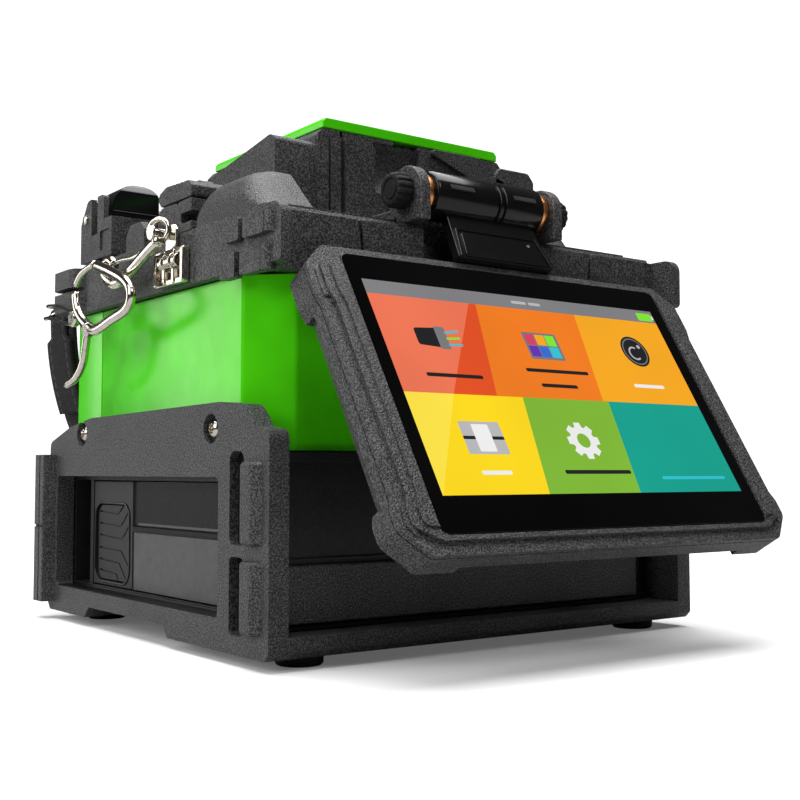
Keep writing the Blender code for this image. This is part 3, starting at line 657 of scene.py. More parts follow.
def strap_hardware():
    """Chrome trigger hooks, rings and links at both ends of the strap."""
    hook_line = [
        (-9.6, 118.8), (-5.0, 117.6), (2.0, 115.2), (10.6, 112.2), (18.0, 110.3), (24.0, 110.4),
        (29.0, 112.8), (30.6, 115.6), (28.6, 117.6), (25.2, 117.3), (22.6, 115.6),
    ]
    latch = [(3.0, 116.6), (9.5, 116.2), (16.5, 116.6), (21.4, 116.4)]
    collar = [(117.4, 0.8), (117.6, 1.9), (118.3, 2.1), (119.2, 1.9), (119.7, 1.2)]
    clasp = [
        (29.4, 116.2), (24.0, 114.6), (16.5, 112.2), (8.0, 109.0), (3.4, 105.8), (2.8, 102.4),
        (6.0, 99.8), (16.0, 98.0), (29.0, 95.8), (36.0, 97.6), (43.2, 102.0), (45.6, 106.0),
        (46.4, 109.5),
    ]
    ring = [
        (85.6, 45.5, 102.5), (84.8, 56.0, 105.2), (83.4, 66.0, 107.4), (82.5, 74.0, 108.6),
        (82.3, 80.5, 109.2), (80.6, 83.4, 109.5), (76.6, 85.0, 109.6), (72.4, 87.0, 109.6),
        (71.6, 90.0, 109.6), (71.6, 93.6, 109.6), (72.2, 96.0, 109.4), (74.6, 96.4, 108.4),
        (77.2, 93.6, 106.8), (80.0, 88.8, 105.8), (82.0, 83.6, 105.2), (82.5, 78.0, 104.6),
        (83.2, 68.0, 102.6), (84.6, 57.0, 100.6), (85.6, 47.5, 99.6),
    ]
    tail = [(35.5, 97.0), (37.5, 90.5), (39.5, 85.5), (45.0, 81.5), (53.0, 79.7)]
    gate = [(46.3, 112.0), (43.0, 114.6), (39.0, 116.0), (30.5, 117.2)]
    pieces = []
    for side, sign in SIDES:
        link_x, clasp_x = sign * 82.5, sign * 85.6
        eye_line = []
        for a, b in circle((0.0, 122.0), 3.1, 20):
            eye_line.append((sign * 82.0 + sign * a * 0.62, -8.5 + a * 0.78, b))
        parts = [
            wire(link_x, hook_line, 1.5, 1.35),
            ring_mesh(eye_line, 1.0),
            turned("collar", "Z", (link_x, -9.6), collar, sides=24),
            wire(link_x, latch, 0.7),
        ]
        hook = linked(f"snap_hook_link_{side}", joined_mesh("snap_hook_link", parts))
        settle(hook, "strap", "chrome", [f"snap_hook_{side}"])
        parts = [
            wire(clasp_x, clasp, 1.45, 1.3),
            ring_mesh([(sign * x, y, z) for x, y, z in ring], 0.65),
            wire(clasp_x, tail, 1.3),
            hub(clasp_x, (47.2, 101.2), 1.3, 1.3, 2.3, 0.6, 2.9),
            hub(clasp_x, (35.2, 96.4), 1.5, 1.2, 2.0, 0.8, 2.6),
        ]
        body = linked(f"trigger_hook_{side}", joined_mesh("trigger_hook", parts))
        settle(body, "strap", "chrome", [f"strap_clasp_{side}"])
        bar = linked(f"hook_trigger_{side}", wire(clasp_x, gate, 1.05))
        settle(bar, f"gate_{side}", "chrome", [f"hook_gate_{side}"])
        pieces += [hook, body, bar]
    return pieces


def strap_brackets():
    """Chrome cages on the top bumper's sides, each with the stud that the link swings on."""
    lug = [(-12.0, 115.0), (-5.0, 115.0), (-5.2, 122.6), (-7.0, 124.2), (-10.0, 124.2), (-11.8, 122.6)]
    plate = [("X", rectangle((-19.0, 105.8), (0.0, 116.4), 1.2), -77.9, -77.2)]
    adds = [("X", rounded(lug, 1.2), -78.2, -77.2)]
    for y in (-18.2, -12.6, -6.4, -0.8):
        adds.append(("X", rectangle((y - 0.8, 106.0), (y + 0.8, 116.2), 0.7), -79.6, -77.6))
    for z in (106.6, 115.6):
        adds.append(("X", rectangle((-19.0, z - 0.8), (0.0, z + 0.8), 0.7), -79.2, -77.6))
    for radius, start, end in ((2.1, -15.6, -4.4), (2.6, -13.0, -11.9), (2.6, -8.0, -6.9)):
        adds.append(disc("Y", (-78.6, 112.6), radius, start, end, 28))
    for radius, start, end in ((1.5, -84.4, -77.4), (2.3, -84.9, -84.1)):
        adds.append(disc("X", (-8.5, 121.0), radius, start, end, 32))
    moulded_pair(
        "strap_bracket_cage_{}", "splicer", "chrome", plate, (), 0.25, "strap_bracket_{}", adds=adds,
    )


# ---------------------------------------------------------------- base


BASE_OUTLINE = [
    (-70.0, 5.0), (-68.0, 3.0), (-12.9, 3.0), (-9.5, 6.5), (45.5, 6.5), (49.0, 3.0), (80.0, 3.0),
    (82.0, 5.0), (82.0, 61.0), (63.3, 66.1), (46.0, 68.4), (-43.0, 69.7), (-56.5, 68.6), (-62.5, 62.4),
    (-70.0, 61.8),
]
BASE_RADII = [1.0, 1.0, 1.0, 1.0, 1.0, 1.0, 1.0, 1.0, 2.5, 6.0, 8.0, 6.0, 5.0, 3.0, 3.0]


def base_bumper():
    """The textured frame round the lower half."""
    rear_rib = [(-79.0, 75.5), (-84.5, 76.5), (-84.5, 84.5), (-83.0, 85.5), (-76.0, 85.5), (-76.0, 79.0)]
    ribs = [("Z", rounded(rear_rib, 0.7), 6.0, 56.7)]
    pad = rounded([(-79.0, -56.6), (-82.4, -59.0), (-82.4, -64.4), (-79.0, -67.4)], [0, 1.2, 1.2, 0])
    cuts = [
        block((-74.0, -200.0, 8.7), (74.0, 76.0, 200.0)),
        block((-200.0, -43.0, 11.7), (200.0, 74.5, 49.3), 1.6, "X"),
    ]
    side_cuts = [
        ("X", rectangle((-57.0, 7.9), (-49.4, 28.4), 1.6), -82.0, -77.4),
        ("X", rectangle((-57.0, 31.4), (-49.4, 56.2), 2.4), -82.0, -77.4),
        ("Z", [(-86.0, 79.6), (-83.9, 79.6), (-83.9, 80.4), (-86.0, 80.4)], 5.0, 57.5),
        block((-90.0, 70.0, 31.6), (-83.2, 90.0, 32.4)),
        disc("X", (-38.3, 62.5), 4.15, -90.0, -77.5),
        disc("X", (53.3, 63.4), 4.15, -90.0, -77.5),
    ]
    moulded(
        "base_frame", "splicer", "bumper",
        [("X", rounded(BASE_OUTLINE, BASE_RADII), -80.0, 80.0)] + mirrored(ribs),
        cuts + mirrored(side_cuts), 0.7, stands_for=["base_bumper"],
    )
    for level, low, high in (("low", 9.0, 27.9), ("high", 31.8, 53.4)):
        moulded_pair("side_pad_" + level + "_{}", "splicer", "bumper", [("Z", pad, low, high)], (), 1.5)
    # The groove floors are thin near-black sheets: painted shade for the shadow deep in each side groove.
    groove_shade_sheets = [("X", rectangle((-56.6, 8.3), (-49.8, 56.0), 1.6), -77.6, -77.3)]
    moulded_pair("side_groove_{}", "splicer", "black_and_painted_shade", groove_shade_sheets, (), 0.0)


def base_screws():
    """Button-head screws with a round socket."""
    head = [
        (-77.8, 2.6), (-78.6, 2.6), (-79.3, 2.2), (-79.75, 1.5), (-79.8, 1.35), (-78.9, 1.2), (-78.9, 0.2),
    ]
    for end, place in (("front", (-38.3, 62.5)), ("rear", (53.3, 63.4))):
        for side, sign in SIDES:
            turned_piece(
                f"base_screw_head_{end}_{side}", "splicer", "chrome", "X", place, facing(sign, head),
                [f"base_screw_{end}_{side}"],
            )


def feet():
    """Rubber pads under the four corners."""
    profile = [(0.0, 5.9), (0.5, 6.4), (2.2, 6.5), (2.7, 6.5)]
    for end, y in (("front", -59.0), ("rear", 68.0)):
        for side, sign in SIDES:
            turned_piece(
                f"foot_pad_{end}_{side}", "splicer", "rubber", "Z", (sign * 64.0, y), profile,
                [f"foot_{end}_{side}"],
            )


def lower_case():
    """The case behind the frame, with its stepped front panel and the battery bay."""
    shapes = [block((-73.5, -58.0, 9.0), (73.5, 75.6, 56.1))]
    cuts = [
        block((-200.0, -43.0, 13.0), (58.5, 58.0, 48.0)),
        block((-70.0, -54.5, 50.0), (70.0, 72.0, 200.0)),
        block((-68.0, -59.0, 27.5), (65.0, -56.6, 53.5), 1.5, "Y"),
        block((68.0, -59.0, 10.5), (72.5, -55.0, 54.0), 0.6, "Y"),
    ]
    cuts += mirrored([block((-200.0, 60.5, 13.0), (-62.0, 73.5, 48.0))])
    cuts.append(block((70.5, -41.0, 14.0), (200.0, 57.0, 47.0)))
    moulded("case_body", "splicer", "panel", shapes, cuts, 0.35, stands_for=["lower_case"])
    lower = [block((-73.4, -61.2, 10.6), (64.0, -57.5, 25.8))]
    edges = [
        block((64.6, -60.6, 10.0), (65.4, -57.0, 26.0)), block((-68.9, -59.4, 26.4), (-68.2, -57.0, 54.0)),
        block((-73.2, -61.0, 8.9), (63.8, -60.6, 10.0)),
    ]
    moulded("front_lower_panel", "splicer", "bumper", lower, (), 0.5)
    moulded("front_panel_trim", "splicer", "black_and_painted_shade", edges[:1], (), 0.15, adds=edges[1:])
    rail = [(-73.9, 11.8), (-72.0, 11.8), (-72.0, 13.2), (-73.6, 12.6)]
    shapes = [("Y", rail, -42.6, 74.0), block((-79.6, -42.4, 11.75), (-74.2, 74.0, 12.05))]
    moulded_pair("bay_rail_{}", "splicer", "black_and_painted_shade", shapes, (), 0.1)


def battery():
    """The battery's end face: a smooth lower panel, an upper panel in painted shade, a glossy ledge, and a
    latch under chevron ridges.
    """
    ledge = [(-80.0, 33.4), (-72.4, 33.4), (-72.4, 60.0), (-80.0, 60.0)]
    cuts = [
        ("Y", ledge, -50.0, 26.0),
        ("X", rectangle((28.8, 14.8), (55.7, 40.2), 4.6), -80.0, -67.4),
        ("X", rectangle((25.8, 13.0), (26.2, 50.0)), -80.0, -72.6),
    ]
    shapes = [block((-73.2, -42.5, 13.4), (58.0, 57.5, 47.6))]
    moulded("battery_body", "battery", "battery", shapes, cuts, 0.3, stands_for=["battery_pack"])
    # The upper panel is near-black: painted shade, which makes it darker than the lower panel of the same
    # battery.
    upper = [("X", rectangle((-41.8, 34.6), (25.4, 47.4), 0.5), -72.8, -72.3)]
    moulded("battery_upper_panel", "battery", "black_and_painted_shade", upper, (), 0.1)
    lip = [(-74.0, 32.4), (-73.8, 31.6), (-73.0, 31.6), (-72.3, 33.0), (-72.3, 33.8), (-73.6, 33.4)]
    moulded("battery_ledge", "battery", "black_and_painted_shade", [("Y", lip, -42.3, 25.6)], (), 0.1)
    plate = [("X", rectangle((26.4, 13.6), (57.3, 47.5), 0.4), -73.45, -73.0)]
    hole = [("X", rectangle((28.9, 14.9), (55.6, 40.1), 4.4), -80.0, -67.4)]
    moulded("battery_end_plate", "battery", "panel", plate, hole, 0.08)
    outer = [("X", rectangle((28.2, 14.2), (56.3, 40.8), 5.2), -73.8, -73.3)]
    inner = [("X", rectangle((28.9, 14.9), (55.6, 40.1), 4.5), -80.0, -67.4)]
    moulded("battery_latch_rim", "battery", "gloss", outer, inner, 0.2)
    chevrons = [
        [(53.5, 37.6), (38.5, 37.0), (34.6, 39.8)], [(53.5, 33.7), (36.6, 33.1), (30.6, 38.0)],
        [(53.5, 29.8), (35.4, 29.1), (29.0, 34.4)], [(53.5, 25.6), (36.4, 25.2), (29.6, 19.6)],
        [(53.5, 21.8), (38.0, 21.2), (32.4, 16.2)], [(53.0, 18.2), (40.0, 17.6), (38.4, 15.4)],
    ]
    grooves = [("X", stroke(line, 0.6), -80.0, -72.35) for line in chevrons]
    latch = [("X", rectangle((29.3, 15.3), (55.2, 39.7), 4.2), -72.9, -69.6)]
    moulded("latch_button", "latch", "panel", latch, grooves, 0.0, stands_for=["battery_latch"])


# ---------------------------------------------------------------- body shell


def body_shells():
    """The gloss green shell: a front U and a rear U, with a seam on each side."""
    out, wall, chamfer, inner = 73.7, 2.5, 10.7, 9.6
    front = [
        (-out, 51.8), (-out, -55.0 + chamfer), (-out + chamfer, -55.0), (out - chamfer, -55.0),
        (out, -55.0 + chamfer), (out, 51.8), (out - wall, 51.8), (out - wall, -55.0 + wall + inner),
        (out - wall - inner, -55.0 + wall), (-out + wall + inner, -55.0 + wall),
        (-out + wall, -55.0 + wall + inner), (-out + wall, 51.8),
    ]
    radii = [0.4, 2.2, 2.2, 2.2, 2.2, 0.4, 0.3, 2.0, 2.0, 2.0, 2.0, 0.3]
    moulded(
        "shell_front", "splicer", "green", [("Z", rounded(front, radii, 6), 56.4, 104.9)], (), 0.3,
        stands_for=["body_shell"],
    )
    rear = [
        (-out, 52.2), (-out + wall, 52.2), (-out + wall, 75.4 - wall), (out - wall, 75.4 - wall),
        (out - wall, 52.2), (out, 52.2), (out, 75.4), (-out, 75.4),
    ]
    radii = [0.4, 0.3, 1.5, 1.5, 0.3, 0.4, 3.5, 3.5]
    vents = [block((x - 0.8, 70.0, 70.0), (x + 0.8, 80.0, 90.0), 0.7, "Y") for x in range(-24, 25, 6)]
    moulded(
        "shell_rear", "splicer", "green", [("Z", rounded(rear, radii, 6), 56.4, 104.9)], vents, 0.3,
        stands_for=["rear_shell"],
    )
    gasket = [block((-73.2, 51.3, 56.6), (-71.4, 52.7, 104.7))]
    moulded_pair("seam_gasket_{}", "splicer", "rubber", gasket, (), 0.0)


def top_bumper():
    """The textured ring round the top."""
    plate = [(-70.0, 105.2), (-70.0, 121.0), (-58.0, 121.0), (-58.0, 105.2)]
    plate_radii = [1.5, 4.0, 0.0, 0.0]
    band = [(-53.2, 110.0), (-53.2, 122.5), (-57.6, 122.5), (-60.0, 118.4), (-60.0, 110.0)]
    shapes = [
        block((-77.0, -60.0, 105.2), (77.0, 79.0, 121.0), 2.0),
        ("X", band, -74.5, 74.5),
    ]
    slab = [(15.0, 112.0), (15.0, 127.0), (17.5, 129.8), (25.5, 129.8), (28.5, 126.5), (28.5, 112.0)]
    rear_rib = [(-76.0, 60.0), (-80.0, 62.0), (-81.0, 65.0), (-81.0, 78.0), (-79.0, 80.0), (-70.0, 80.0)]
    sides = [
        ("X", rounded(plate, plate_radii), -77.0, -74.0),
        ("X", rounded(slab, [0, 2, 1, 1, 2, 0]), -76.0, -72.0),
        ("Z", rounded(rear_rib, 1.0), 106.0, 112.5),
        ("Z", rounded(rear_rib, 1.0), 114.0, 120.5),
    ]
    pads = []
    for low, high in (((-50.6, 113.0), (-42.6, 119.3)), ((-64.2, 113.0), (-53.0, 119.3)),
                      ((-48.6, 103.2), (-40.2, 110.3)), ((-62.4, 103.2), (-51.4, 110.3))):
        pads.append(("X", rectangle(low, high, 0.8), -78.8, -76.0))
    for y, z, half in ((-64.6, 116.15, 3.0), (-62.8, 106.75, 3.4)):
        pads.append(("Z", circle((-76.6, y), 2.1, 24), z - half, z + half))
    cuts = [
        block((-69.7, -53.0, 0.0), (69.7, 73.0, 200.0)),
        block((-23.0, -70.0, 111.5), (23.0, -50.0, 200.0)),
    ]
    cut_pairs = [
        ("Y", stroke([(-46.6, 124.0), (-45.0, 118.4), (-44.3, 109.0)], 1.1), -70.0, -58.6),
    ]
    moulded(
        "top_ring", "splicer", "bumper", shapes + mirrored(sides), cuts + mirrored(cut_pairs), 0.6,
        stands_for=["top_bumper"], adds=mirrored(pads),
    )


def shoulder_mesh(sign, set_back):
    """The rounded hump beside the cover: it climbs from the front and ends in a round nose at the rear."""
    foot_z, inner_x = 122.0, -52.6
    arch = [
        (-69.0, foot_z), (-69.0, 130.0), (-65.6, 136.8), (-57.5, 138.8), (inner_x, 138.8),
        (inner_x, foot_z),
    ]
    across = rounded(arch, [0, 7, 9, 8, 0, 0], 7)
    rise = (
        (-49.0, 0.10), (-47.6, 0.20), (-45.0, 0.33), (-42.0, 0.50), (-39.0, 0.68), (-36.5, 0.83),
        (-34.4, 0.94), (-32.0, 0.99), (-29.0, 1.0), (-16.0, 1.0), (-12.5, 0.985), (-10.0, 0.93),
        (-8.0, 0.83), (-6.7, 0.66), (-6.0, 0.42),
    )
    start, end = rise[0][0], rise[-1][0]
    rings = []
    for y, share in rise:
        place_y = end - (end - y) * (end - start - set_back) / (end - start)
        narrow = 0.93 + 0.07 * min(1.0, share * 1.3)
        ring = []
        for x, z in across:
            place_x = -sign * (inner_x + (x - inner_x) * narrow)
            ring.append(Vector((place_x, place_y, foot_z + (z - foot_z) * share)) * MM)
        rings.append(ring)
    return lofted("shoulder", rings, sharp=60)


def top_deck():
    """The deck, with its shoulders, hinge posts and key wells."""
    deck = block((-69.4, -52.7, 112.0), (69.4, 72.7, 124.3), 1.5)
    post = [(36.5, 120.0), (36.5, 149.0), (39.0, 152.0), (45.0, 152.0), (47.5, 149.0), (47.5, 120.0)]
    posts = mirrored([("X", rounded(post, [0, 1, 2, 2, 1, 0]), -44.5, -38.5)])
    keys = {"power": -46.0, "heat": -34.5, "reset": 34.5, "set": 46.0}
    key_y = -40.0
    cuts = mirrored([disc("X", (42.0, 148.0), 2.0, -43.2, -38.0)])
    cuts += [disc("Z", (x, key_y), 5.0, 121.0, 200.0) for x in keys.values()]
    cuts.append(disc("Z", (0.0, 6.0), 4.6, 0.0, 200.0))
    moulded("deck_plate", "splicer", "bumper", [deck] + posts, cuts, 0.4, stands_for=["top_deck"])
    for side, sign in SIDES:
        set_back = 0.0 if side == "left" else 15.0
        settle(linked(f"deck_shoulder_{side}", shoulder_mesh(sign, set_back)), "splicer", "bumper")
    cap = [(122.5, 4.6), (124.8, 4.6), (125.4, 4.2), (125.6, 3.4), (125.25, 2.2), (125.2, 0.1)]
    for name, x in keys.items():
        turned_piece(f"key_cap_{name}", f"{name}_key", "rubber", "Z", (x, key_y), cap, [f"key_{name}"])


# ---------------------------------------------------------------- deck equipment


def sheath_clamps():
    """A stage and a hinged lid each side of the wind cover."""
    outer_x, inner_x = -69.2, -54.4
    stage = [
        (-3.6, 124.6), (19.6, 124.6), (19.6, 133.0), (17.0, 134.7), (7.2, 134.7), (6.0, 133.5),
        (4.8, 134.7), (-3.6, 134.7),
    ]
    slot = [block((-80.0, -10.0, 127.5), (-64.0, 3.5, 130.5), 0.8, "X")]
    moulded_pair(
        "fibre_stage_{}", "splicer", "bumper", [("X", stage, outer_x, inner_x)], slot, 0.4,
        "sheath_stage_{}",
    )
    lid = [
        (-3.8, 135.1), (-3.8, 138.6), (-1.5, 140.4), (14.0, 141.0), (18.6, 139.5), (19.6, 137.5),
        (17.6, 135.1),
    ]
    ribs = [block((-80.0, y, 139.9), (-40.0, y + 0.7, 142.0)) for y in (1.5, 4.5, 7.5)]
    moulded_pair(
        "fibre_lid_{}", "sheath_{}", "bumper", [("X", rounded(lid, 0.8), outer_x, inner_x)], ribs, 0.4,
        "sheath_lid_{}",
    )


def heater():
    """The shrink-tube oven across the rear."""
    base = [(50.0, 124.6), (77.0, 124.6), (77.0, 137.9), (50.0, 137.9)]
    wall = [(57.0, 130.0), (57.0, 146.5), (71.0, 146.5), (77.0, 138.5), (77.0, 130.0)]
    shapes = [("X", base, -72.0, 72.0)]
    shapes += mirrored([("X", rounded(wall, [0, 1.5, 3, 2, 0]), -72.0, -70.0)])
    cuts = [block((-50.0, 59.5, 128.0), (50.0, 70.5, 200.0))]
    cuts += mirrored([
        block((-200.0, 62.4, 133.5), (-49.0, 67.6, 200.0)),
        ("X", rectangle((52.0, 127.0), (60.0, 134.0), 1.0), -80.0, -71.3),
    ])
    moulded("heater_body", "splicer", "bumper", shapes, cuts, 0.5, stands_for=["heater_base"])
    lid = [
        (57.5, 138.2), (57.5, 141.0), (60.5, 144.2), (71.0, 144.4), (75.5, 142.4), (76.6, 140.5),
        (75.0, 138.2),
    ]
    cover = [("X", rounded(lid, [0.4, 2, 3, 4, 3, 2, 0.5]), -51.2, 51.2)]
    moulded("oven_lid_cover", "oven_lid", "gloss", cover, (), 0.5, stands_for=["heater_lid"])
    clamp = [
        (57.2, 138.4), (56.2, 140.6), (56.2, 148.4), (58.6, 151.4), (64.5, 152.6), (71.0, 150.0),
        (75.8, 144.0), (76.6, 140.5), (75.0, 138.4),
    ]
    dome = [
        (-72.0, 156.0), (-72.0, 139.8), (-69.8, 142.4), (-67.6, 147.2), (-64.0, 150.4), (-59.6, 151.8),
        (-55.8, 151.6), (-53.0, 150.2), (-51.4, 147.0), (-50.0, 142.0), (-50.0, 156.0),
    ]
    arm = [("X", rounded(clamp, [0.6, 1, 2, 3, 4, 4, 3, 2, 0.5]), -69.6, -51.7)]
    over = [("Y", rounded(dome, [0, 0, 3, 6, 6, 8, 6, 4, 3, 0, 0]), 40.0, 90.0)]
    moulded_pair("oven_clamp_arm_{}", "oven_clamp_{}", "gloss", arm, over, 0.7, "heater_clamp_{}")
    ridge = [("X", [(55.9, 141.0), (56.6, 140.4), (56.6, 141.6)], -68.6, -52.4)]
    moulded_pair("oven_clamp_lip_{}", "oven_clamp_{}", "gloss", ridge, (), 0.0)
    pin = [(-71.4, 1.7), (-72.6, 1.7), (-73.0, 1.3), (-73.05, 0.2)]
    for side, sign in SIDES:
        turned_piece(
            f"oven_pivot_cap_{side}", "splicer", "chrome", "X", (72.0, 139.9), facing(sign, pin),
        )


def wind_cover():
    """The hood over the splice bay: stepped front panels, a finger recess and the green plate."""
    wide = [(-25.0, 124.8), (14.5, 124.8), (14.5, 147.0), (-22.0, 152.9), (-25.0, 151.5)]
    middle = [(-38.0, 124.8), (38.0, 124.8), (38.0, 154.2), (35.6, 156.8), (-35.6, 156.8), (-38.0, 154.2)]
    panel = rounded([(-28.0, 126.0), (-16.7, 126.0), (-16.7, 154.5), (-28.0, 154.5)], [0.2, 0.2, 2.8, 0.4], 6)
    shapes = [
        ("X", rounded(wide, [0, 0, 2, 3, 2]), -52.3, 52.3),
        ("Y", rounded(middle, [0, 0, 1.2, 1.2, 1.2, 1.2]), -25.4, 46.0),
        ("Y", panel, -27.0, -24.0),
        block((-37.9, -26.4, 125.2), (-33.9, -24.0, 154.4), 0.3, "Y"),
        block((-33.2, -26.4, 125.2), (-29.3, -24.0, 154.6), 0.3, "Y"),
        ("Y", rounded([(24.5, 126.0), (37.8, 126.0), (37.8, 150.0), (24.5, 154.5)], 0.8), -26.6, -24.0),
    ]
    scoop = circle((-36.0, 147.5), 13.4, 64)
    cuts = [
        block((-49.6, -22.0, 0.0), (49.6, 11.8, 144.0)),
        block((-35.4, -20.4, 0.0), (35.4, 43.4, 153.8)),
        block((-29.2, -28.0, 120.0), (-28.1, -23.6, 160.0)),
        ("X", scoop, -16.6, 1.9),
        ("Y", rounded([(-8.6, 155.4), (1.2, 155.4), (1.2, 158.0), (-8.6, 158.0)], 0.5), -28.0, -22.8),
        disc("X", (42.0, 148.0), 2.0, -60.0, 60.0),
    ]
    cuts += mirrored([block((-60.0, 3.0, 0.0), (-40.0, 9.0, 139.0))])
    moulded("hood_shell", "hood", "bumper", shapes, cuts, 0.5, stands_for=["wind_cover"])
    band = [(1.8, 156.6), (26.3, 156.6), (34.0, 148.8), (34.0, 138.0), (22.0, 138.0), (21.4, 149.4)]
    hump = [(33.6, 126.0), (33.6, 152.4), (36.0, 155.0), (49.4, 155.0), (52.0, 152.0), (52.0, 126.0)]
    band_shape = [("Y", rounded(band, [1, 1, 1.5, 0, 0, 1.5]), -27.2, -24.6)]
    hump_shape = [("Y", rounded(hump, [0, 2, 2, 2, 2, 0]), -26.6, -8.0)]
    moulded("hood_band", "hood", "bumper", band_shape, (), 0.5)
    moulded("hood_hump", "hood", "bumper", hump_shape, (), 0.8)
    plate = [(-35.5, 157.1), (35.5, 157.1), (35.5, 159.2), (34.3, 160.4), (-34.3, 160.4), (-35.5, 159.2)]
    moulded(
        "hood_plate", "hood", "green", [("Y", plate, -25.5, 45.0)], (), 0.4,
        stands_for=["wind_cover_plate"],
    )


# ---------------------------------------------------------------- monitor hinge


def hinge():
    """The bracket's ears, the fluted knobs, the barrel with its rings, and the plate below it."""
    axis, on_axis = (-57.5, 131.8), (0.0, 0.0)
    ear = circle(axis, 7.7, 24, 180.0, -180.0) + [
        (-49.8, 127.6), (-41.0, 127.6), (-41.0, 124.6), (-53.1, 124.6), (-53.1, 122.8), (-65.2, 122.8),
    ]
    ears = [("X", ear, -27.9, 27.9)]
    cuts = [block((-24.2, -200.0, 0.0), (24.2, -48.5, 200.0)), disc("X", axis, 3.0, -40.0, 40.0)]
    moulded("hinge_ears", "splicer", "bumper", ears, cuts, 0.5, stands_for=["hinge_bracket"])
    knob = [
        (-28.2, 4.6), (-28.5, 5.0), (-28.9, 5.2), (-32.2, 5.2), (-33.0, 4.9), (-33.35, 4.3),
        (-33.35, 3.4), (-33.0, 3.2), (-33.0, 2.8), (-33.4, 2.6), (-33.4, 0.1),
    ]
    bush = [(-21.2, 3.6), (-21.2, 5.8), (-21.8, 6.1), (-23.2, 6.1), (-23.8, 5.6), (-23.8, 3.6)]
    for side, sign in SIDES:
        turned_piece(
            f"hinge_knob_cap_{side}", f"knob_{side}", "rubber", "X", axis, facing(sign, knob),
            [f"hinge_knob_{side}"], sides=144, flutes=(14, 0.55, 1, 4),
        )
        turned_piece(
            f"hinge_bush_{side}", "monitor", "brass", "X", on_axis, facing(sign, bush),
            [f"brass_bush_{side}"], place=MONITOR,
        )
    barrel = [
        (-21.0, 6.4), (-20.6, 7.0), (-20.0, 7.3), (1.6, 7.4), (1.9, 6.8), (2.6, 6.8), (2.9, 7.4),
        (3.9, 7.4), (4.2, 6.8), (4.9, 6.8), (5.2, 7.4), (20.0, 7.3), (20.6, 7.0), (21.0, 6.4),
    ]
    turned_piece("hinge_barrel", "monitor", "gloss", "X", on_axis, barrel, place=MONITOR, sides=96)
    arm = [(-16.0, -3.0), (16.5, -3.0), (18.5, -23.9), (-18.5, -23.9)]
    ribs = [
        ("Y", stroke([(-15.2, -13.2), (15.2, -13.2)], 0.5), -1.7, -0.9),
        ("Y", stroke([(-15.6, -13.2), (-17.6, -23.7)], 0.9), -1.8, -0.9),
        ("Y", stroke([(15.6, -13.2), (17.6, -23.7)], 0.9), -1.8, -0.9),
    ]
    moulded(
        "monitor_neck", "monitor", "gloss", [("Y", rounded(arm, 0.6), -1.2, 1.8)], (), 0.2, MONITOR,
        ["monitor_arm"], adds=ribs,
    )
    for index, x in enumerate((-12.0, 12.5)):
        spot = [("X", rectangle((-7.25, -3.0), (-6.6, -1.2), 0.15), x - 4.5, x + 4.5)]
        moulded(f"barrel_recess_{index}", "monitor", "rubber", spot, (), 0.1, MONITOR)
    plate = [(-14.3, -14.6), (14.3, -14.6), (15.8, -23.4), (-15.8, -23.4)]
    moulded(
        "nameplate_panel", "monitor", "gloss", [("Y", rounded(plate, 0.8), -1.7, -1.0)], (), 0.2, MONITOR,
        ["nameplate"],
    )
    stud = [(-1.6, 0.6), (-1.95, 0.5), (-2.0, 0.2)]
    turned_piece(
        "nameplate_stud", "monitor", "chrome", "Y", (11.4, -16.2), stud, place=MONITOR, sides=24,
    )


# ---------------------------------------------------------------- monitor


def monitor_outline(inset):
    """The monitor's outline with its four stepped corners, that far inside its edge."""
    top, bottom = -24.2, -116.5
    side = 70.1 - inset
    corner = side + 1.1
    half = [
        (corner - 7.0, top - inset), (corner, -31.0), (corner, -40.5), (side, -44.5), (side, -101.0),
        (corner, -104.0), (corner, -109.0), (corner - 7.2, bottom + inset),
    ]
    return half + [(-x, z) for x, z in reversed(half)]


def monitor_case():
    """The monitor's back and the stepped rim round its glass."""
    radii = [2.0, 3.5, 1.2, 1.2, 1.2, 1.2, 3.5, 3.0]
    radii += radii[::-1]
    relief = [(4.2, -20.0), (4.2, -26.8), (11.0, -29.0), (11.0, -20.0)]
    side_relief = [("Z", [(-80.0, 6.4), (-69.3, 6.4), (-67.8, 11.0), (-80.0, 11.0)], -101.0, -44.5)]
    low_relief = [(8.0, -118.0), (8.0, -115.6), (11.0, -114.6), (11.0, -118.0)]
    cuts = [
        ("X", relief, -90.0, 90.0), block((-58.5, 1.0, -109.5), (58.5, 4.4, -29.5)),
        ("X", low_relief, -52.0, 52.0),
    ]
    cuts += mirrored(side_relief)
    moulded(
        "monitor_body", "monitor", "bumper", [("Y", rounded(monitor_outline(0.0), radii), 2.9, 10.4)], cuts,
        0.9, MONITOR, ["monitor_back"], steps=4,
    )
    shapes = [
        ("Y", rounded(monitor_outline(0.0), radii), 1.2, 2.6),
        ("Y", rounded(monitor_outline(3.4), [max(0.6, r - 1.4) for r in radii]), 0.0, 1.8),
        ("Y", rounded(monitor_outline(6.2), [max(0.4, r - 1.8) for r in radii]), -0.6, 1.8),
    ]
    hole = [("Y", rectangle((-60.7, -111.8), (60.7, -26.9), 3.0), -5.0, 5.0)]
    moulded("monitor_rim", "monitor", "bumper", shapes, hole, 0.4, MONITOR, ["monitor_bezel"])
    glass = [("Y", rectangle((-60.4, -111.5), (60.4, -27.2), 2.6), 0.0, 1.1)]
    moulded("touch_panel", "monitor", "glass", glass, (), 0.25, MONITOR, ["touch_glass"])
    pad = [(-66.4, -30.0), (-69.2, -33.0), (-69.2, -42.0), (-66.6, -42.0)]
    foot = [(-66.4, -112.6), (-69.0, -108.6), (-69.0, -102.4), (-66.6, -102.4)]
    shapes = mirrored([("Y", rounded(pad, 0.5), 0.6, 2.0), ("Y", rounded(foot, 0.5), 0.6, 2.0)])
    for index, shape in enumerate(shapes):
        moulded(f"rim_corner_{index}", "monitor", "bumper", [shape], (), 0.4, MONITOR)


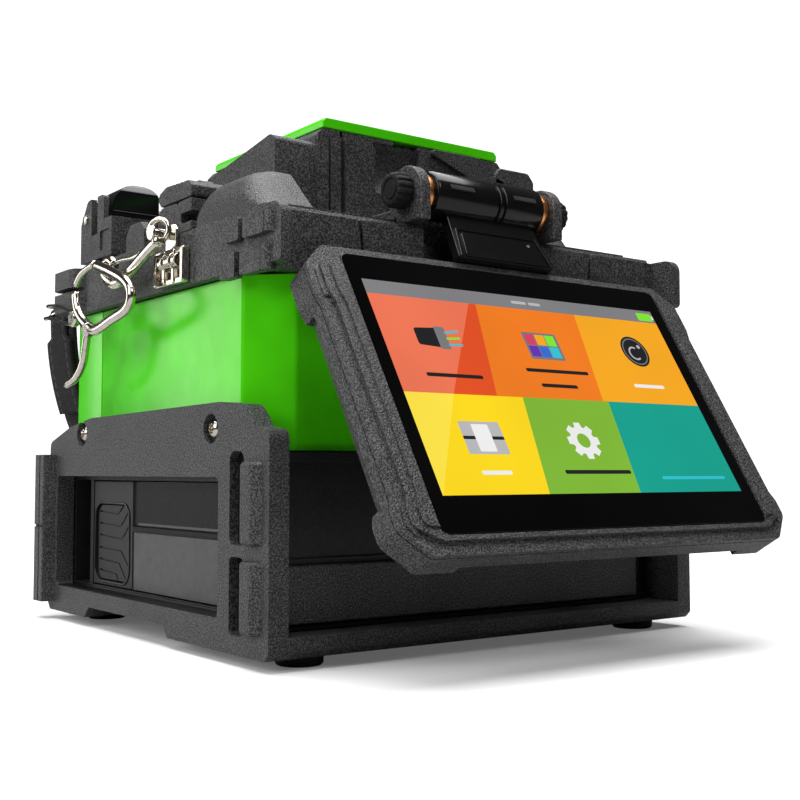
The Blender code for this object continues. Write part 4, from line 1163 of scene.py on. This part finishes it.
def flat_patch(name, outline, depth):
    """A thin patch on the display, that far in front of the glass."""
    shell = bmesh.new()
    verts = [shell.verts.new(Vector((x, -depth, z)) * MM) for x, z in outline]
    shell.faces.new(verts)
    bmesh.ops.recalc_face_normals(shell, faces=shell.faces)
    for face in shell.faces:
        if face.normal.y > 0:
            face.normal_flip()
    shell.transform(MONITOR)
    mesh = bpy.data.meshes.new(name)
    shell.to_mesh(mesh)
    shell.free()
    return mesh


def screen_icons():
    """A plain pictogram and a bar on each tile of the menu, as (tone, outline) pairs."""
    icons = [
        ("dark", rounded([(-45.0, -50.6), (-36.5, -50.0), (-36.5, -56.6), (-45.0, -56.0)], 0.8)),
        ("grey", rectangle((-38.0, -57.0), (-34.5, -49.6), 0.5)),
    ]
    for row, tone in enumerate(("cyan", "lime", "cyan")):
        z = -51.2 - row * 2.0
        icons.append((tone, stroke([(-34.8, z - 0.3), (-30.0, z + 0.5 - row * 0.3)], 0.7)))
    icons.append(("grey", rectangle((-6.2, -58.0), (7.0, -48.6), 0.6)))
    for row, line in enumerate((("pink", "amber", "lime"), ("violet", "blue", "cyan"))):
        for column, tone in enumerate(line):
            x, z = -5.4 + column * 3.9, -49.3 - row * 4.1
            icons.append((tone, rectangle((x, z - 3.7), (x + 3.6, z), 0.1)))
    for tone, radius in (("dark", 5.6), ("grey", 4.9), ("dark", 4.5)):
        icons.append((tone, circle((38.8, -52.3), radius, 40)))
    icons += [
        ("silver", stroke(circle((38.4, -53.0), 2.2, 20, 60.0, 250.0), 0.6)),
        ("silver", circle((41.2, -50.4), 0.7, 16)),
        ("silver", rectangle((-42.6, -84.2), (-29.0, -79.8), 0.4)),
        ("silver", rectangle((-42.6, -89.6), (-29.0, -85.2), 0.4)),
        ("dark", rectangle((-42.6, -85.2), (-29.0, -84.2))),
        ("white", rectangle((-38.6, -88.8), (-33.0, -80.6), 0.4)),
        ("dark", rectangle((-42.6, -84.9), (-38.6, -84.4))),
        ("dark", rectangle((-33.0, -84.9), (-29.0, -84.4))),
    ]
    gear, gear_x, gear_z, teeth = [], -0.4, -84.9, 8
    for tooth in range(teeth):
        middle = math.tau * tooth / teeth
        for offset, radius in ((-0.30, 4.5), (-0.19, 5.9), (0.19, 5.9), (0.30, 4.5)):
            angle = middle + offset
            gear.append((gear_x + radius * math.cos(angle), gear_z + radius * math.sin(angle)))
    icons += [("white", gear), ("green", circle((gear_x, gear_z), 2.3, 32))]
    for low, high, tone in (
        ((-46.5, -66.2), (-27.5, -65.0), "dark"), ((-10.4, -62.6), (13.6, -61.4), "dark"),
        ((-7.0, -67.6), (6.8, -66.4), "dark"), ((31.0, -65.8), (44.0, -64.6), "white"),
        ((-41.0, -95.6), (-31.0, -94.4), "white"), ((-12.4, -95.4), (12.4, -94.2), "dark"),
        ((24.0, -97.2), (51.0, -96.2), "cyan"),
    ):
        icons.append((tone, rectangle(low, high, 0.5)))
    return icons


def screen_art():
    """The menu: a status bar, six slanted tiles and a plain pictogram on each, with a painted glare over the
    left tiles. It holds no words.
    """
    # The paler red and yellow tones are for the painted glare on the left tiles.
    tones = {
        "bar": (0.20, 0.20, 0.21), "red": (0.72, 0.075, 0.015), "orange": (0.83, 0.19, 0.012),
        "amber": (0.87, 0.37, 0.012), "yellow": (0.93, 0.66, 0.010), "green": (0.20, 0.45, 0.035),
        "teal": (0.005, 0.33, 0.25), "red_painted_glare": (0.80, 0.17, 0.085), "yellow_painted_glare": (0.95, 0.73, 0.06),
        "white": (0.80, 0.80, 0.80), "grey": (0.18, 0.18, 0.19), "dark": (0.012, 0.012, 0.014),
        "cyan": (0.03, 0.50, 0.60), "violet": (0.12, 0.03, 0.40), "blue": (0.03, 0.14, 0.60),
        "lime": (0.20, 0.75, 0.03), "silver": (0.45, 0.45, 0.46), "pink": (0.60, 0.05, 0.12),
    }
    looks = {name: lit(f"screen_{name}", colour) for name, colour in tones.items()}
    left, right, top, bottom = -56.0, 55.5, -35.5, -101.3
    bar, split = -40.2, -71.4
    b1, b2 = (-19.0, -25.3), (19.3, 14.6)
    b3, b4 = (-16.2, -21.2), (16.6, 12.6)
    layers = [
        ("bar", [(left, top), (right, top), (right, bar), (left, bar)]),
        ("red", [(left, bar), (b1[0], bar), (b1[1], split), (left, split)]),
        ("orange", [(b1[0], bar), (b2[0], bar), (b2[1], split), (b1[1], split)]),
        ("amber", [(b2[0], bar), (right, bar), (right, split), (b2[1], split)]),
        ("yellow", [(left, split), (b3[0], split), (b3[1], bottom), (left, bottom)]),
        ("green", [(b3[0], split), (b4[0], split), (b4[1], bottom), (b3[1], bottom)]),
        ("teal", [(b4[0], split), (right, split), (right, bottom), (b4[1], bottom)]),
    ]
    # The first two raised patches are painted glare: paler copies of the red and yellow tiles in a diagonal
    # band at the left, standing for the glass's reflection.
    raised = [
        ("red_painted_glare", [(left, bar), (-21.5, bar), (-40.0, split), (left, split)]),
        ("yellow_painted_glare", [(left, split), (-40.0, split), (-55.9, bottom), (left, bottom)]),
        ("lime", rectangle((48.0, -39.6), (54.6, -36.6), 0.4)),
        ("white", rectangle((54.6, -38.8), (55.2, -37.4))),
        ("silver", rectangle((-4.6, -38.4), (1.0, -37.4), 0.3)),
        ("silver", rectangle((2.0, -38.4), (6.6, -37.4), 0.3)),
    ]
    layer_gap, patch_gap = 0.02, 0.0006
    for index, group in enumerate((layers, raised, screen_icons())):
        meshes = {}
        for order, (tone, outline) in enumerate(group):
            depth = layer_gap + layer_gap * index + patch_gap * order
            meshes.setdefault(tone, []).append(flat_patch("patch", outline, depth))
        for tone, parts in meshes.items():
            mesh = joined_mesh(f"display_{tone}_{index}", parts)
            mesh.materials.append(looks[tone])
            patch = linked(f"display_{tone}_{index}", mesh)
            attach(patch, "monitor")


# ---------------------------------------------------------------- parts kept from the CAD


def dress_cad_nodes():
    """Rounded edges and full materials for the inner parts whose CAD shape is already right."""
    kept = {
        "main_board": ("board", 0.2), "arc_power_module": ("case", 0.6), "microscope_camera": ("steel", 0.4),
        "splice_block": ("ceramic", 0.2), "electrode_front": ("steel", 0.0), "electrode_rear": ("steel", 0.0),
        "fiber_clamp_left": ("steel", 0.4), "fiber_clamp_right": ("steel", 0.4),
        "wind_cover_pin": ("steel", 0.2), "hinge_pin": ("steel", 0.3), "lcd_panel": ("case", 0.3),
    }
    for name, (look, bevel) in kept.items():
        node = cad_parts[name]
        node.data.materials.clear()
        node.data.materials.append(LOOKS[look])
        if bevel:
            weld = node.modifiers.new("weld", "WELD")
            weld.merge_threshold = 0.005 * MM
            round_edges(node, bevel, 2, 40)


# ---------------------------------------------------------------- studio


def area_light(name, place, target, size, power):
    """A soft box at the place, turned towards the target."""
    data = bpy.data.lights.new(name, "AREA")
    data.shape = "RECTANGLE"
    data.size, data.size_y = size
    data.energy = power
    light = linked(name, data)
    light.location = place
    light.rotation_euler = (Vector(target) - Vector(place)).to_track_quat("-Z", "Y").to_euler()


def make_floor():
    """A pale floor that fades into the white background."""
    reach = 6.0
    corners = [(-reach, -reach, 0), (reach, -reach, 0), (reach, reach, 0), (-reach, reach, 0)]
    mesh = bpy.data.meshes.new("floor")
    mesh.from_pydata(corners, [], [(0, 1, 2, 3)])
    floor = linked("floor", mesh)
    surface = Look("floor", (0.90, 0.90, 0.90), 0.6, Specular_IOR_Level=0.1)
    surface.feed("Roughness", surface.spread(surface.noise(40.0, 2.0), 0.55, 0.65))
    seen = surface.node("ShaderNodeLightPath").outputs["Is Camera Ray"]
    surface.feed("Base Color", surface.mix(seen, (0.42, 0.42, 0.42), (0.90, 0.90, 0.90)))
    surface.set("Emission Color", (1.0, 1.0, 1.0, 1.0))
    surface.feed("Emission Strength", surface.spread(seen, 0.0, 0.10, 0.0, 1.0))
    distance = surface.node("ShaderNodeVectorMath", {"Vector": surface.place}, operation="LENGTH")
    surface.feed("Alpha", surface.spread(distance.outputs["Value"], 1.0, 0.0, 0.45, 1.3))
    floor.data.materials.append(surface.made)


def studio():
    """A white room: a pale floor, and soft boxes at the left rear, at the left, above and in front."""
    scene = bpy.context.scene
    scene.view_settings.view_transform = "Standard"
    world = bpy.data.worlds.new("studio")
    scene.world = world
    world.use_nodes = True
    tree = world.node_tree
    around, behind = tree.nodes["Background"], tree.nodes.new("ShaderNodeBackground")
    for node, strength in ((around, 0.05), (behind, 1.2)):
        node.inputs["Color"].default_value = (1.0, 1.0, 1.0, 1.0)
        node.inputs["Strength"].default_value = strength
    mix = tree.nodes.new("ShaderNodeMixShader")
    path = tree.nodes.new("ShaderNodeLightPath")
    tree.links.new(path.outputs["Is Camera Ray"], mix.inputs[0])
    tree.links.new(around.outputs[0], mix.inputs[1])
    tree.links.new(behind.outputs[0], mix.inputs[2])
    tree.links.new(mix.outputs[0], tree.nodes["World Output"].inputs[0])
    make_floor()
    middle = (0.0, 0.0, 0.08)
    area_light("left_box", (-0.75, 1.05, 0.30), (-0.07, 0.0, 0.08), (0.45, 0.60), 2.4)
    area_light("side_box", (-1.7, -0.05, 1.0), middle, (1.2, 1.2), 18.0)
    area_light("top_box", (0.0, 0.1, 1.7), middle, (1.8, 1.8), 60.0)
    area_light("front_box", (-0.35, -1.3, 1.25), middle, (0.7, 0.5), 6.0)


make_camera()
carry_strap()
strap_brackets()
base_bumper()
base_screws()
feet()
lower_case()
battery()
body_shells()
top_bumper()
top_deck()
sheath_clamps()
heater()
wind_cover()
hinge()
monitor_case()
screen_art()
dress_cad_nodes()
studio()
